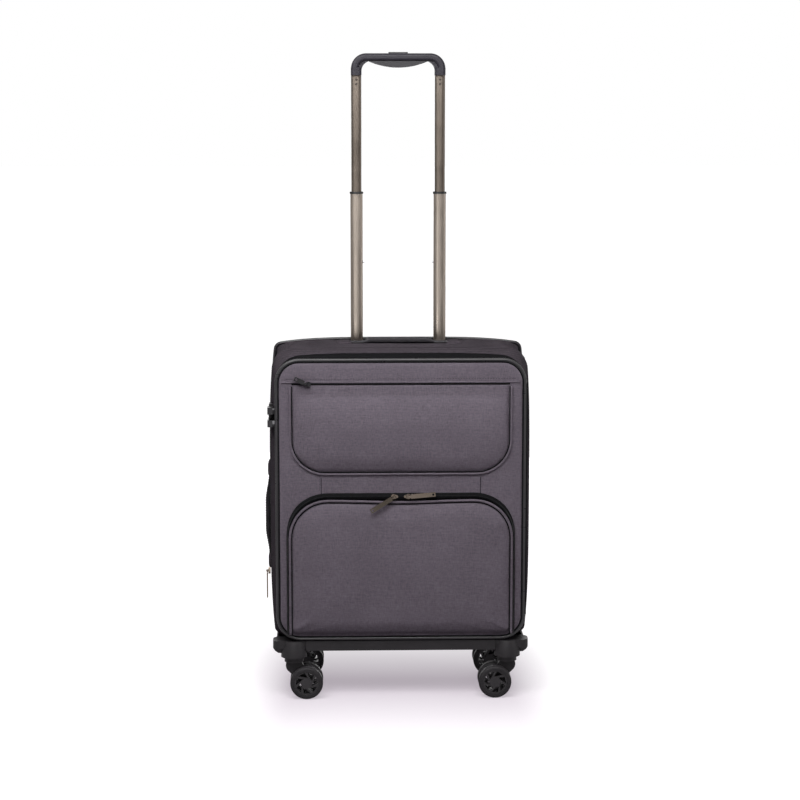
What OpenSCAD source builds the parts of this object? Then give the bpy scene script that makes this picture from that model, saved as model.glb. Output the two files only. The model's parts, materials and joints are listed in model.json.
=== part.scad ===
// Softside upright suitcase on four twin-wheel casters, with a telescopic handle.
// Frame: millimetres, +Z up, +Y towards the back panel, origin on the floor under the middle.

/* [Case] */
// Width over the frame, before the soft swell of the walls
case_w = 400; // [380:1:420]
// Height of the top frame edge above the floor
case_top = 550; // [540:1:600]
// Height of the soft body's underside above the floor
body_z = 92; // [89:1:97]
// Distance from the origin back to the outside of the back panel
back_y = 101; // [98:1:120]
// Depth of the rear section, from the back panel to the expansion zip
rear_depth = 120; // [112:1:140]
// Thickness of the gusset walls
wall = 3; // [2:0.5:4]
// Thickness of the back panel
back_t = 5; // [4:0.5:7]
// Corner radius at the back edge
rear_r = 8; // [7:1:14]
// Corner radius at the front edge
front_r = 38; // [32:1:44]
// Corner radius where the rear section meets the front section
seam_r = 30; // [24:1:36]
// Corner radius along the underside where the two sections meet
foot_r = 10; // [9:0.5:14]
// Outward swell of the side walls at the back edge
rear_swell = 7; // [4:0.5:8]
// Upward swell of the top wall at the back edge
rear_crown = 8.5; // [6:0.5:11]
// Drop of the top wall from the expansion zip to the back edge
rear_drop = 3.5; // [2:0.5:5]
// Outward swell of the side walls at the expansion zip
seam_swell = 6.5; // [4:0.5:8]
// Upward swell of the top wall at the expansion zip
seam_crown = 4.5; // [3:0.5:6]
// Width of the welt sewn around the back panel
welt = 5; // [4:0.5:6]

/* [Front section] */
// Width of one half of the expansion zip
expander_half = 3.8; // [3:0.1:4.5]
// Depth of the strip between the expansion zip and the main zip
strip_depth = 36; // [35:1:40]
// Upward swell of the top wall at the main zip
front_crown = 8; // [4:0.5:9]
// Width of one half of the main zip
zip_half = 5.8; // [5:0.1:7]
// Thickness of the zip tapes
tape_t = 2.2; // [1.6:0.1:3]

/* [Lid] */
// Distance from the frame's edge in to the lid's piping
lid_side = 3.5; // [2.5:0.1:4.5]
// Thickness of the lid panel
lid_t = 5; // [5:0.5:7]
// Radius of the piping around the lid
piping_r = 2.5; // [2:0.1:2.5]
// Height of the lid's lower edge above the soft body's underside
lid_rise = 1.8; // [1:0.1:3]
// Drop of the lid's upper edge below the frame edge
lid_drop = 8; // [6:0.5:10]
// Radius of the sewn hinge cord
hinge_r = 1.3; // [1:0.1:1.6]
// Thickness of the linings
lining_t = 2; // [1.5:0.1:3]

/* [Pockets] */
// Thickness of both pockets
pocket_t = 15; // [13:0.5:18]
// Distance from the lid's edge in to the upper pocket
upper_side = 22; // [20:0.5:40]
// Height of the upper pocket over its piping
upper_h = 140; // [120:1:142]
// Drop of the upper pocket's zip below the lid's upper edge
upper_zip_drop = 39; // [36:1:48]
// Radius of the upper pocket's lower corners
upper_r = 56; // [30:1:64]
// Distance from the lid's edge in to the lower pocket
lower_side = 20.5; // [18:0.5:38]
// Height of the lower pocket's hinge line above the lid's lower edge
lower_rise = 11.2; // [8:0.1:13]
// Height of the lower pocket over its piping
lower_h = 216; // [200:1:218]
// Radius of the lower pocket's upper corners
lower_r = 62; // [40:1:70]
// Radius of the self-covered piping on the pockets
pocket_piping_r = 1.9; // [1.5:0.1:2.2]
// Thickness of the lower pocket's fabric shell
pocket_wall = 3; // [2:0.5:4]
// Amount by which the pockets' front edges are drawn in
pillow = 7; // [5:0.5:8]
// Width of the zip band around the lower pocket
pocket_band = 9; // [8.5:0.5:10]
// Thickness of the zip band around the lower pocket
pocket_band_t = 5; // [4.5:0.5:6]

/* [Zip sliders] */
// Length of the zip slider body
slider_l = 11; // [10:0.5:12]
// Width of the zip slider body
slider_w = 8; // [7:0.5:8.5]
// Thickness of the zip slider body
slider_t = 3.4; // [3:0.1:4]
// Radius of the pin that carries the pull tab
pull_pin_r = 0.9; // [0.7:0.1:1.1]
// Outer radius of the pull tab's eye
pull_eye_r = 1.8; // [1.7:0.1:2]
// Width of the pull tabs
pull_w = 7; // [6:0.5:8]
// Thickness of the pull tabs
pull_t = 2; // [1.6:0.1:2.2]
// Length of the pull tabs on the lower pocket and the expansion zip
pull_l = 44; // [30:1:48]
// Length of the pull tab on the upper pocket
short_pull_l = 22; // [16:1:28]
// Height of the expansion slider above the soft body's underside
expander_rise = 103; // [90:1:112]

/* [Handle] */
// Distance between the two handle tubes, centre to centre
tube_gap = 134; // [126:1:144]
// Distance from the back panel's outside to the tubes' centre
tube_inset = 23; // [22:0.5:26]
// Width of the lower telescopic tube
mid_w = 20; // [19.6:0.1:21]
// Depth of the lower telescopic tube
mid_d = 13.6; // [13.4:0.1:14.4]
// Width of the upper telescopic tube
top_w = 16.5; // [15.5:0.1:16.8]
// Depth of the upper telescopic tube
top_d = 10.4; // [9.5:0.1:10.5]
// Wall of the tubes
tube_wall = 1.2; // [1:0.1:1.2]
// Sliding clearance around the tubes
tube_gap_r = 0.35; // [0.3:0.05:0.45]
// Length of the lower tube that shows above the bezel
mid_show = 241; // [200:1:244]
// Length of the upper tube that shows above the collar
top_show = 185; // [150:1:190]
// Length of tube that stays inside the next one
tube_overlap = 60; // [50:1:64]
// Height of the collars on the lower tubes
collar_h = 3.5; // [3:0.5:8]
// Height of the spring pins above the bezel
pin_rise = 128; // [110:1:140]
// Radius of the spring pins
pin_r = 1.6; // [1.3:0.1:1.8]
// Length of the spring pins outside the tube
pin_out = 2.4; // [2:0.1:2.6]
// Width of the bezel beside the tubes
bezel_side = 10.5; // [9:0.5:14]
// Width of the bezel in front of and behind the tubes
bezel_edge = 6.5; // [5:0.5:7]
// Height of the bezel's face above the frame edge
bezel_rise = 3; // [2:0.5:5]
// Height of the bezel
bezel_h = 14; // [13:0.5:16]
// Depth of the recess in the bezel's face
dock_depth = 5; // [3:0.5:7]

/* [Grip] */
// Width of the grip legs
leg_w = 17; // [16.8:0.1:19]
// Height of the grip legs' sleeves
leg_h = 12; // [10:0.5:14]
// Depth of the grip
grip_d = 26; // [22:0.5:28]
// Thickness of the grip's bar
bar_t = 12; // [11:0.5:14]
// Height of the grip from the leg's end to the top of the bar
grip_h = 34.5; // [33:0.5:38]
// Outer corner radius of the grip
grip_r = 24; // [20:1:28]
// Inner corner radius of the grip
crook_r = 16; // [12:1:18]
// Rounding along the grip's edges
grip_edge = 4.5; // [3:0.5:5]
// Depth of the curved finger insert under the bar
belly = 10.5; // [8:0.5:14]
// Distance from the grip legs to the finger insert
belly_side = 10; // [8:0.5:14]
// Length of the release button
button_l = 31; // [28:1:40]
// Width of the release button
button_w = 13; // [10:0.5:15]
// Height of the button above the bar
button_rise = 2; // [1.5:0.1:3]
// Travel of the release button
button_travel = 2.5; // [1.5:0.1:3]

/* [Carry handles] */
// Thickness of the carry straps at their middle
strap_t = 4; // [3.5:0.5:6]
// Thickness of the carry straps at their ends
strap_end_t = 2.6; // [2:0.1:3]
// Width of the carry straps
strap_w = 28; // [24:1:32]
// Clear finger height under the middle of the straps
strap_lift = 5.5; // [5:0.1:8]
// Length of the top strap
top_strap_l = 196; // [170:1:210]
// Length of the side strap
side_strap_l = 170; // [150:1:180]
// Distance of the side strap's middle below the middle of the case
side_strap_low = 42.5; // [30:0.5:60]
// Distance from the back panel's outside to the straps' middle
strap_inset = 74; // [66:1:80]
// Length of the strap anchors
anchor_l = 24; // [20:1:28]

/* [Lock] */
// Drop of the lock's middle below the lid's upper edge
lock_drop = 93; // [88:1:110]
// Length of the lock along the wall
lock_l = 36; // [36:1:44]
// Width of the lock
lock_w = 20; // [18:0.5:21]
// Height of the lock above the wall
lock_rise = 0.5; // [0.3:0.1:2]
// Depth of the lock inside the wall
lock_depth = 12.5; // [12:0.5:14]
// Radius of the number dials
dial_r = 6; // [5.5:0.1:6.5]
// Thickness of the number dials
dial_t = 4.5; // [4:0.5:5]
// Distance between the dials
dial_pitch = 6.5; // [6:0.5:7]
// Height of a dial above the lock's face
dial_proud = 1.2; // [0.8:0.1:1.4]
// Travel of the lock's release button
lock_travel = 1.5; // [1:0.1:2]

/* [Base and casters] */
// Height of the base tray
tray_h = 16; // [14:1:18]
// Distance from the frame's edge in to the base tray
tray_side = 3; // [2:0.5:6]
// Distance of the tray's front ahead of the lid's back
tray_lip = 1; // [0:0.5:3]
// Wall of the base tray
tray_wall = 3; // [2:0.5:4]
// Distance from the frame's edge in to the swivel axes
swivel_side = 30.7; // [30:0.1:38]
// Distance from the tray's front edge to the front swivel axes
swivel_front = 8; // [6:0.5:12]
// Distance from the tray's back edge to the rear swivel axes
swivel_back = 28; // [24:0.5:34]
// Radius of the wheel housings' domes
dome_r = 20.5; // [19:0.5:22]
// Height of the wheel housings
dome_h = 26; // [24:0.5:28]
// Height of the corner guards
guard_h = 21; // [19:0.5:23]
// Distance that the guards stand out from the tray's sides
guard_lip = 5.5; // [3:0.5:7]
// Distance that the guards stand out from the tray's front and back
guard_face = 1; // [0.5:0.5:3]
// Chamfer along the guards' lower edges
guard_chamfer = 8.5; // [4:0.5:10]
// Radius of the swivel pins
king_r = 4; // [3.5:0.1:4.5]
// Radius of the wheels
wheel_r = 26; // [24:0.5:27]
// Width of one wheel
wheel_w = 15; // [13:0.5:16]
// Rounding of the tyre's shoulders
tyre_round = 4; // [3:0.5:5]
// Outer radius of the wheel hubs
hub_r = 19.5; // [17:0.5:20]
// Radius of the hub's cap
cap_r = 8.5; // [7:0.5:9.5]
// Number of blades in the hub
blades = 7; // [5:1:9]
// Distance from the swivel axis to the axle
trail = 20; // [18:0.5:22]
// Thickness of the fork's web between the wheels
web_t = 10; // [9:0.5:12]
// Radius of the wheel axles
axle_r = 3; // [2.5:0.1:3.5]

/* [Clearances] */
// Gap between parts that move past each other
run_gap = 0.4; // [0.3:0.05:0.5]
// Radial clearance of a pin in its bore
bore_gap = 0.05; // [0.03:0.01:0.09]
// Gap between sewn or clipped parts
sew_gap = 0.1; // [0.05:0.01:0.15]

/* [Hidden] */
$fn = 48;
eps = 0.01;
arc_steps = 6;
side_steps = 10;
// The top wall's crown is flat in the middle and falls off near the corners.
crown_power = 4;

// Colours as the photograph shows them
cloth = "#625c64";
dark_cloth = "#3a363b";
black = "#1d1c1f";
plastic = "#2a282b";
bronze = "#a89b90";
gunmetal = "#4a443f";
steel = "#8d8f93";
rubber = "#333134";

// Levels along Y, from the back panel to the pockets
back_in = back_y - back_t;
tube_y = back_y - tube_inset;
strap_y = back_y - strap_inset;
seam_y = back_y - rear_depth;
strip_back = seam_y - expander_half - run_gap;
strip_front = strip_back - expander_half - strip_depth;
lid_back = strip_front - 2*zip_half - run_gap;
lid_front = lid_back - lid_t;

// Heights
body_h = case_top - body_z;
body_mid = (case_top + body_z)/2;
rear_mid = body_mid - rear_drop/2;
strip_mid = body_mid + run_gap/2;
lid_z = body_z + lid_rise;
lid_top = case_top - lid_drop;
lid_h = lid_top - lid_z;
lid_mid = lid_z + lid_h/2;
bezel_top = case_top + bezel_rise;
bezel_z = bezel_top - bezel_h;
collar_top = bezel_top + mid_show;
grip_z = collar_top + top_show;
bar_top = grip_z + grip_h;
floor_in = body_z + wall;

// The lid's panel lies inside its piping.
lid_w = case_w - 2*lid_side;
lid_edge = 2*piping_r + sew_gap;
lid_panel_w = lid_w - 2*lid_edge;
lid_panel_h = lid_h - 2*lid_edge;
lid_panel_r = front_r - lid_edge;

// Outlines: lists of [x, z] points about the middle of the wall
function corner_sign(c) = [c == 0 || c == 3 ? 1 : -1, c < 2 ? 1 : -1];
// A radius may be one number, or one for the upper corners and one for the lower.
function corner_r(r, c) = is_list(r) ? r[c < 2 ? 0 : 1] : r;
function corner_arc(w, h, r, c) = [for (k = [0:arc_steps])
    let (a = 90*c + 90*k/arc_steps, s = corner_sign(c), q = corner_r(r, c))
    [s.x*(w/2 - q) + q*cos(a), s.y*(h/2 - q) + q*sin(a)]];
function side_points(a, b) = [for (k = [1:side_steps - 1]) a + (b - a)*k/side_steps];
function rounded(w, h, r) = [for (c = [0:3])
    let (arc = corner_arc(w, h, r, c), next = corner_arc(w, h, r, (c + 1) % 4))
    each concat(arc, side_points(arc[arc_steps], next[0]))];
// The sides swell outwards and the top upwards; the bottom stays flat on its tray.
function swollen(p, w, h, side, top) = [
    p.x + side*(2*p.x/w)*(1 - pow(2*p.y/h, crown_power)),
    p.y + (p.y > 0 ? top*(2*p.y/h)*(1 - pow(2*p.x/w, crown_power)) : 0)];
function soft_outline(w, h, r, side, top) = [for (p = rounded(w, h, r)) swollen(p, w, h, side, top)];
function lerp(a, b, t) = a + (b - a)*t;
function depth_share(y) = (back_in - y)/(back_in - seam_y);
// Height of the top wall, and distance out of the side wall, at a place on the rear section
function top_at(x, y) =
    case_top - rear_drop*(1 - depth_share(y))
    + lerp(rear_crown, seam_crown, depth_share(y))*(1 - pow(2*x/case_w, crown_power));
function side_at(y, z) =
    case_w/2 + lerp(rear_swell, seam_swell, depth_share(y))*(1 - pow(2*(z - body_mid)/body_h, crown_power));

// Outlines of the case walls, drawn in by an inset
function rear_outline(inset) = soft_outline(
    case_w - 2*inset, body_h - rear_drop - 2*inset, rear_r - inset, rear_swell, rear_crown);
function seam_corners(inset) = [seam_r - inset, foot_r - inset];
function seam_outline(inset) = soft_outline(
    case_w - 2*inset, body_h - 2*inset, seam_corners(inset), seam_swell, seam_crown);
// The front section's underside runs over the tray with a gap.
function strip_outline(inset) = soft_outline(
    case_w - 2*inset, body_h - run_gap - 2*inset, seam_corners(inset), seam_swell, seam_crown);
function front_outline(inset) = soft_outline(
    lid_w - 2*inset, lid_h - 2*inset, front_r - inset, 0, front_crown);
function lid_outline(inset) = rounded(lid_w - 2*inset, lid_h - 2*inset, front_r - inset);

// A sheet lying in the XZ plane, from y forwards by depth
module sheet(y, depth, mid) {
    translate([0, y, mid]) rotate([90, 0, 0]) linear_extrude(depth) children();
}

module loft(y_back, outline_back, mid_back, y_front, outline_front, mid_front) {
    hull() {
        sheet(y_back, eps, mid_back) polygon(outline_back);
        sheet(y_front + eps, eps, mid_front) polygon(outline_front);
    }
}

module ring(y, depth, mid, outer, inner) {
    sheet(y, depth, mid) difference() {
        polygon(outer);
        polygon(inner);
    }
}

module rounded_plate(w, h, r) {
    union() {
        square([w - 2*r, h], center = true);
        square([w, h - 2*r], center = true);
        for (x = [-1, 1], z = [-1, 1]) translate([x*(w/2 - r), z*(h/2 - r)]) circle(r);
    }
}

// A plate from z = 0 up, whose two upper corners are round
module arch_plate(w, h, r) {
    union() {
        translate([-w/2, 0]) square([w, h - r]);
        translate([r - w/2, 0]) square([w - 2*r, h]);
        for (x = [-1, 1]) translate([x*(w/2 - r), h - r]) circle(r);
    }
}

oval_points = 40;
oval_power = 2.6;

function oval_side(s, half) = half*sign(s)*pow(abs(s), 2/oval_power);
function oval(w, d) = [for (k = [0:oval_points - 1])
    let (a = 360*k/oval_points) [oval_side(cos(a), w/2), oval_side(sin(a), d/2)]];

module tube(w, d, t, z, h) {
    translate([0, 0, z]) linear_extrude(h) difference() {
        polygon(oval(w, d));
        polygon(oval(w - 2*t, d - 2*t));
    }
}

// Local frame of a handle tube: +x towards the other tube
module at_tube(s) {
    translate([s*tube_gap/2, tube_y, 0]) mirror([s > 0 ? 1 : 0, 0, 0]) children();
}
module both_tubes() {
    for (s = [-1, 1]) at_tube(s) children();
}

// Local frame on the front: x to the right, y up, z out of the face
module on_front(x, y, z) {
    translate([x, y, z]) rotate([90, 0, 0]) children();
}

// Local frame on the left wall: x to the front, y up, z out of the wall
module on_left(x, y, z) {
    translate([x, y, z]) rotate([90, 0, -90]) children();
}

// Case

outer_w = mid_w + 2*tube_gap_r + 2*tube_wall;
outer_d = mid_d + 2*tube_gap_r + 2*tube_wall;
bezel_w = tube_gap + outer_w + 2*bezel_side;
bezel_d = outer_d + 2*bezel_edge;

module rear_panel() {
    color(cloth) sheet(back_y, back_t, rear_mid) polygon(rear_outline(welt + sew_gap));
}

module body_welt() {
    color(black) ring(back_y, back_t, rear_mid, rear_outline(0), rear_outline(welt));
}

module body_gusset() {
    color(cloth) difference() {
        loft(back_in, rear_outline(0), rear_mid, seam_y, seam_outline(0), body_mid);
        loft(back_in + eps, rear_outline(wall), rear_mid, seam_y - eps, seam_outline(wall), body_mid);
        translate([0, tube_y, case_top])
            cube([bezel_w + 2*run_gap, bezel_d + 2*run_gap, 2*(rear_crown + wall + bezel_h)], center = true);
    }
}

lining_gap = 3;
lining_y = tube_y - outer_d/2 - lining_gap;
lining_z = floor_in + sew_gap;
lining_h = bezel_z - sew_gap - lining_z;

// Inner panel between the packing space and the handle tubes
module lining_panel() {
    color(dark_cloth) sheet(lining_y, lining_t, lining_z + lining_h/2)
        rounded_plate(case_w - 2*wall - 2*run_gap, lining_h, front_r);
}

hoop_back = 18;
hoop_t = 4;

module frame_hoop() {
    inset = wall + run_gap;
    color(steel) ring(seam_y + hoop_back, hoop_t, body_mid,
        seam_outline(inset), seam_outline(inset + hoop_t));
}

module expansion_zip() {
    color(black) ring(seam_y, expander_half, body_mid, seam_outline(0), seam_outline(tape_t));
}

fold_t = 1.6;
fold_reach = 12;
fold_gap = 2;

// Spare gusset, folded away inside the two halves of the expansion zip
module expansion_gusset() {
    inset = wall + fold_gap;
    color(black) ring(seam_y + fold_reach, fold_reach + 2*expander_half + run_gap, strip_mid,
        strip_outline(inset), strip_outline(inset + fold_t));
}

// Base and casters

base_z = body_z - tray_h;
dome_z = body_z - dome_h;
guard_z = body_z - guard_h;
guard_top = body_z - sew_gap;
tray_w = case_w - 2*tray_side;
tray_front = tray_lip - lid_back;
tray_depth = back_in + tray_front;
tray_mid = (back_in - tray_front)/2;
swivel_x = case_w/2 - swivel_side;
guard_in = 24;
guard_r = 12;

function swivel_y(i) = i < 2 ? swivel_front - tray_front : back_in - swivel_back;
function guard_side(i) = (i < 2 ? swivel_front : swivel_back) + guard_face;
guard_out = tray_w/2 + guard_lip - swivel_x;

// Local frame at a caster: +x out to the side, +y out to the front or back
module at_swivel(i) {
    translate([(i % 2 == 0 ? -1 : 1)*swivel_x, swivel_y(i), 0])
        mirror([i % 2 == 0 ? 1 : 0, 0, 0]) mirror([0, i < 2 ? 1 : 0, 0]) children();
}
module each_swivel() {
    for (i = [0:3]) at_swivel(i) children();
}

module guard_shape(i, grow) {
    side = guard_side(i);
    translate([(guard_out - guard_in)/2, (side - guard_in)/2])
        rounded_plate(guard_in + guard_out + 2*grow, guard_in + side + 2*grow, guard_r + grow);
}

// A guard, cut away along the lower edges of its two outer sides
module guard(i) {
    cut = guard_chamfer*sqrt(2);
    difference() {
        translate([0, 0, guard_z]) linear_extrude(guard_top - guard_z) guard_shape(i, 0);
        translate([guard_out, 0, guard_z]) rotate([0, 45, 0]) cube([cut, case_w, cut], center = true);
        translate([0, guard_side(i), guard_z]) rotate([45, 0, 0]) cube([case_w, cut, cut], center = true);
    }
}

bell_top_r = 15.4;

// A housing's dome, upright at its rim and drawn in towards its top
module bell() {
    rise = guard_top - dome_z;
    narrowing = dome_r - bell_top_r;
    bow = (pow(narrowing, 2) + pow(rise, 2))/(2*narrowing);
    translate([0, 0, dome_z]) rotate_extrude() intersection() {
        translate([dome_r - bow, 0]) circle(bow);
        square([dome_r, rise]);
    }
}

module base_tray() {
    color(plastic) difference() {
        translate([0, tray_mid, base_z]) linear_extrude(tray_h) rounded_plate(tray_w, tray_depth, guard_r);
        translate([0, tray_mid, base_z + tray_wall]) linear_extrude(tray_h)
            rounded_plate(tray_w - 2*tray_wall, tray_depth - 2*tray_wall, guard_r - tray_wall);
        for (i = [0:3]) at_swivel(i) translate([0, 0, base_z - 1]) linear_extrude(2*tray_h) {
            guard_shape(i, run_gap);
            circle(dome_r + run_gap);
        }
    }
}

screw_places = [[22, -16], [-17.4, -17.4]];
screw_r = 2;
screw_head_r = 3.6;
screw_head_h = 2.4;
screw_l = 14;
socket_r = 1.7;

module housing_screw(gap) {
    translate([0, 0, guard_z - eps]) cylinder(r = screw_head_r + gap, h = screw_head_h + gap);
    translate([0, 0, guard_z]) cylinder(r = screw_r + gap, h = screw_l + gap);
}

module wheel_housing(i) {
    difference() {
        union() {
            guard(i);
            bell();
        }
        translate([0, 0, dome_z - 1]) cylinder(r = king_r + bore_gap, h = dome_h + 2);
        for (p = screw_places) translate(p) housing_screw(sew_gap);
    }
}

module wheel_housings() {
    color(plastic) for (i = [0:3]) at_swivel(i) wheel_housing(i);
}

module housing_screws() {
    color(steel) each_swivel() for (p = screw_places) translate(p) difference() {
        housing_screw(0);
        translate([0, 0, guard_z - 1]) cylinder(r = socket_r, h = 1 + screw_head_h/2, $fn = 6);
    }
}

hub_gap = 1;
hub_h = 7;
hub_top = dome_z - hub_gap;
hub_z = hub_top - hub_h;
king_head_r = 6.5;
king_head_h = 1.8;
king_top = guard_top - 2;

module swivel_pins() {
    color(steel) each_swivel() union() {
        translate([0, 0, hub_z - run_gap]) cylinder(r = king_r, h = king_top - hub_z + run_gap);
        translate([0, 0, hub_z - run_gap - king_head_h]) cylinder(r = king_head_r, h = king_head_h);
        translate([0, 0, hub_top + eps]) cylinder(r = king_head_r, h = hub_gap - 2*eps);
    }
}

// Two circles joined by their outer tangents
module link_plate(p, pr, q, qr) {
    d = q - p;
    base = atan2(d.y, d.x);
    turn = acos((pr - qr)/norm(d));
    up = [cos(base + turn), sin(base + turn)];
    down = [cos(base - turn), sin(base - turn)];
    union() {
        translate(p) circle(pr);
        translate(q) circle(qr);
        polygon([p + pr*up, q + qr*up, q + qr*down, p + pr*down]);
    }
}

fork_hub_r = 15;
web_r = 13;
boss_r = 8;
axle_z = wheel_r;

module fork(i) {
    head_room = king_head_h + 2*run_gap;
    color(plastic) at_swivel(i) difference() {
        union() {
            translate([0, 0, hub_z]) cylinder(r = fork_hub_r, h = hub_h);
            translate([0, web_t/2, 0]) rotate([90, 0, 0]) linear_extrude(web_t)
                link_plate([0, hub_top - web_r], web_r, [-trail, axle_z], boss_r);
        }
        translate([0, 0, hub_z - 1]) cylinder(r = king_r + bore_gap, h = hub_h + 2);
        translate([0, 0, hub_z - head_room]) cylinder(r = king_head_r + run_gap, h = head_room);
        translate([-trail, web_t, axle_z]) rotate([90, 0, 0]) cylinder(r = axle_r + bore_gap, h = 2*web_t);
    }
}

hub_wall = 2;
hub_dish = 1.6;
wheel_gap = 0.6;

module tyre() {
    rotate_extrude() {
        difference() {
            translate([hub_r + sew_gap, 0]) square([wheel_r - hub_r - sew_gap, wheel_w]);
            for (y = [0, wheel_w - tyre_round]) translate([wheel_r - tyre_round, y]) square(tyre_round);
        }
        for (y = [tyre_round, wheel_w - tyre_round]) translate([wheel_r - tyre_round, y]) intersection() {
            circle(tyre_round);
            translate([0, y < wheel_w/2 ? -tyre_round : 0]) square(tyre_round);
        }
    }
}

// A blade leans round the hub like a turbine's.
blade_lean = 0.45;
window_root = 0.6;
window_tip = 0.72;
window_gap = 1;

function around(r, a) = r*[cos(a), sin(a)];
module blade_window() {
    share = 360/blades;
    r0 = cap_r + window_gap;
    r1 = hub_r - hub_wall;
    polygon([around(r0, 0), around(r1, share*blade_lean),
        around(r1, share*(blade_lean + window_tip)), around(r0, share*window_root)]);
}

module wheel_hub() {
    difference() {
        union() {
            cylinder(r = hub_r, h = wheel_w - hub_dish);
            cylinder(r = cap_r, h = wheel_w - hub_dish/2);
        }
        translate([0, 0, -1]) cylinder(r = axle_r + bore_gap, h = wheel_w - hub_wall - 1);
        for (k = [0:blades - 1]) rotate(360*k/blades)
            translate([0, 0, -1]) linear_extrude(wheel_w + 2) blade_window();
    }
}

module wheels(i) {
    color(rubber) at_swivel(i) translate([-trail, 0, axle_z]) {
        for (s = [0, 1]) mirror([0, s, 0])
            translate([0, web_t/2 + wheel_gap, 0]) rotate([-90, 0, 0]) {
                tyre();
                wheel_hub();
            }
        rotate([90, 0, 0])
            cylinder(r = axle_r, h = web_t + 2*wheel_gap + 2*(wheel_w - 2*hub_wall), center = true);
    }
}

// Telescopic handle

foot_h = 12;
foot_side = 8;
foot_edge = 2;
foot_wall = 3;
tube_z = floor_in + foot_h;

// The slot on the inner side lets the spring pin run past.
module pin_slot(z, h) {
    slot_w = 2*(pin_r + run_gap);
    translate([mid_w/2 - tube_wall, -slot_w/2, z]) cube([tube_wall + pin_out + run_gap, slot_w, h]);
}

module outer_tubes() {
    color(steel) both_tubes() difference() {
        tube(outer_w, outer_d, tube_wall, tube_z, bezel_z - tube_z);
        pin_slot(tube_z - 1, bezel_z - tube_z + 2);
    }
}

module tube_foot() {
    length = tube_gap + outer_w + 2*foot_side;
    depth = outer_d + 2*foot_edge;
    color(plastic) difference() {
        translate([-length/2, tube_y - depth/2, floor_in]) cube([length, depth, foot_h]);
        translate([(outer_w - tube_gap)/2, tube_y - depth/2 + foot_wall, floor_in + foot_wall])
            cube([tube_gap - outer_w, depth - 2*foot_wall, foot_h]);
    }
}

bezel_r = 6;
dock_side = 4;
dock_edge = 3;

module handle_bezel() {
    dock_w = tube_gap - outer_w - 2*(pin_out + dock_side);
    color(plastic) difference() {
        translate([0, tube_y, bezel_z]) linear_extrude(bezel_h) rounded_plate(bezel_w, bezel_d, bezel_r);
        translate([0, tube_y, bezel_top - dock_depth]) linear_extrude(bezel_h)
            rounded_plate(dock_w, bezel_d - 2*dock_edge, bezel_r - dock_edge);
        both_tubes() {
            translate([0, 0, bezel_z - 1]) linear_extrude(bezel_h + 2)
                polygon(oval(mid_w + 2*tube_gap_r, mid_d + 2*tube_gap_r));
            pin_slot(bezel_z - 1, bezel_h + 2);
        }
    }
}

mid_z = bezel_top - tube_overlap;
pin_z = bezel_top + pin_rise;

module pin_shape(r, from, to) {
    translate([from, 0, pin_z]) rotate([0, 90, 0]) cylinder(r = r, h = to - from);
}

module mid_tubes() {
    color(bronze) both_tubes() difference() {
        tube(mid_w, mid_d, tube_wall, mid_z, collar_top - collar_h - mid_z);
        pin_shape(pin_r + bore_gap, mid_w/2 - 2*tube_wall, mid_w);
    }
}

module spring_pin(s) {
    color(steel) at_tube(s) pin_shape(pin_r, mid_w/2 - tube_wall, mid_w/2 + pin_out);
}

collar_edge = 1.2;

module mid_collars() {
    color(black) both_tubes() tube(mid_w + 2*collar_edge, mid_d + 2*collar_edge,
        (mid_w - top_w)/2 + collar_edge - tube_gap_r, collar_top - collar_h, collar_h);
}

top_z = collar_top - tube_overlap;
spigot_l = 22;
rivet_r = 1.1;
rivet_head_r = 1.8;
rivet_head_h = 0.6;
rivet_l = 5;
rivet_drops = [7, 14];

// Rivets set flush in the front of the upper tubes
module rivets(gap) {
    for (d = rivet_drops) translate([0, bore_gap - top_d/2, grip_z - d]) rotate([-90, 0, 0]) {
        cylinder(r = rivet_r + gap, h = rivet_l + gap);
        translate([0, 0, -gap]) cylinder(r = rivet_head_r + gap, h = rivet_head_h + 2*gap);
    }
}

// A groove up the inner side of the upper tube leaves room for the pin when it is drawn in.
module pin_groove() {
    groove_w = 2*(pin_r + run_gap);
    groove_top = pin_z + top_show + groove_w;
    translate([mid_w/2 - tube_wall - pin_out - run_gap, -groove_w/2, top_z - 1])
        cube([pin_out + run_gap, groove_w, groove_top - top_z + 1]);
}

module top_tubes() {
    color(bronze) both_tubes() difference() {
        tube(top_w, top_d, tube_wall, top_z, grip_z - top_z);
        pin_groove();
        rivets(sew_gap);
    }
}

module grip_rivets() {
    color(gunmetal) both_tubes() rivets(0);
}

// The arch stands a little inside the sleeves that hold the tubes.
arch_inset = 0.2;
arch_w = tube_gap + leg_w - 2*arch_inset;
arch_straight = arch_w - 2*grip_r;

// Section of the arch, across its thickness and its depth
module grip_section() {
    rounded_plate(bar_t, grip_d - 2*arch_inset, grip_edge);
}

module grip_arch() {
    translate([-arch_straight/2, 0, bar_top - bar_t/2]) rotate([0, 90, 0])
        linear_extrude(arch_straight) grip_section();
    for (s = [0, 1]) mirror([s, 0, 0]) translate([arch_straight/2, 0, bar_top - grip_r])
        rotate([90, 0, 0]) rotate_extrude(angle = 90) translate([grip_r - bar_t/2, 0]) grip_section();
}

// The arch's inner corners, thickened to a round of their own
module grip_crook() {
    inner = (tube_gap - leg_w)/2;
    under = bar_top - bar_t;
    low = grip_z + leg_h/2;
    depth = grip_d - 2*arch_inset - 2*grip_edge;
    translate([0, depth/2, 0]) rotate([90, 0, 0]) linear_extrude(depth) difference() {
        translate([inner - crook_r, low]) square([crook_r + bar_t/2, under + bar_t/2 - low]);
        translate([inner - crook_r, under - crook_r]) circle(crook_r, $fn = 96);
        translate([inner - crook_r, grip_z]) square([crook_r, under - crook_r - grip_z]);
    }
}

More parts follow.
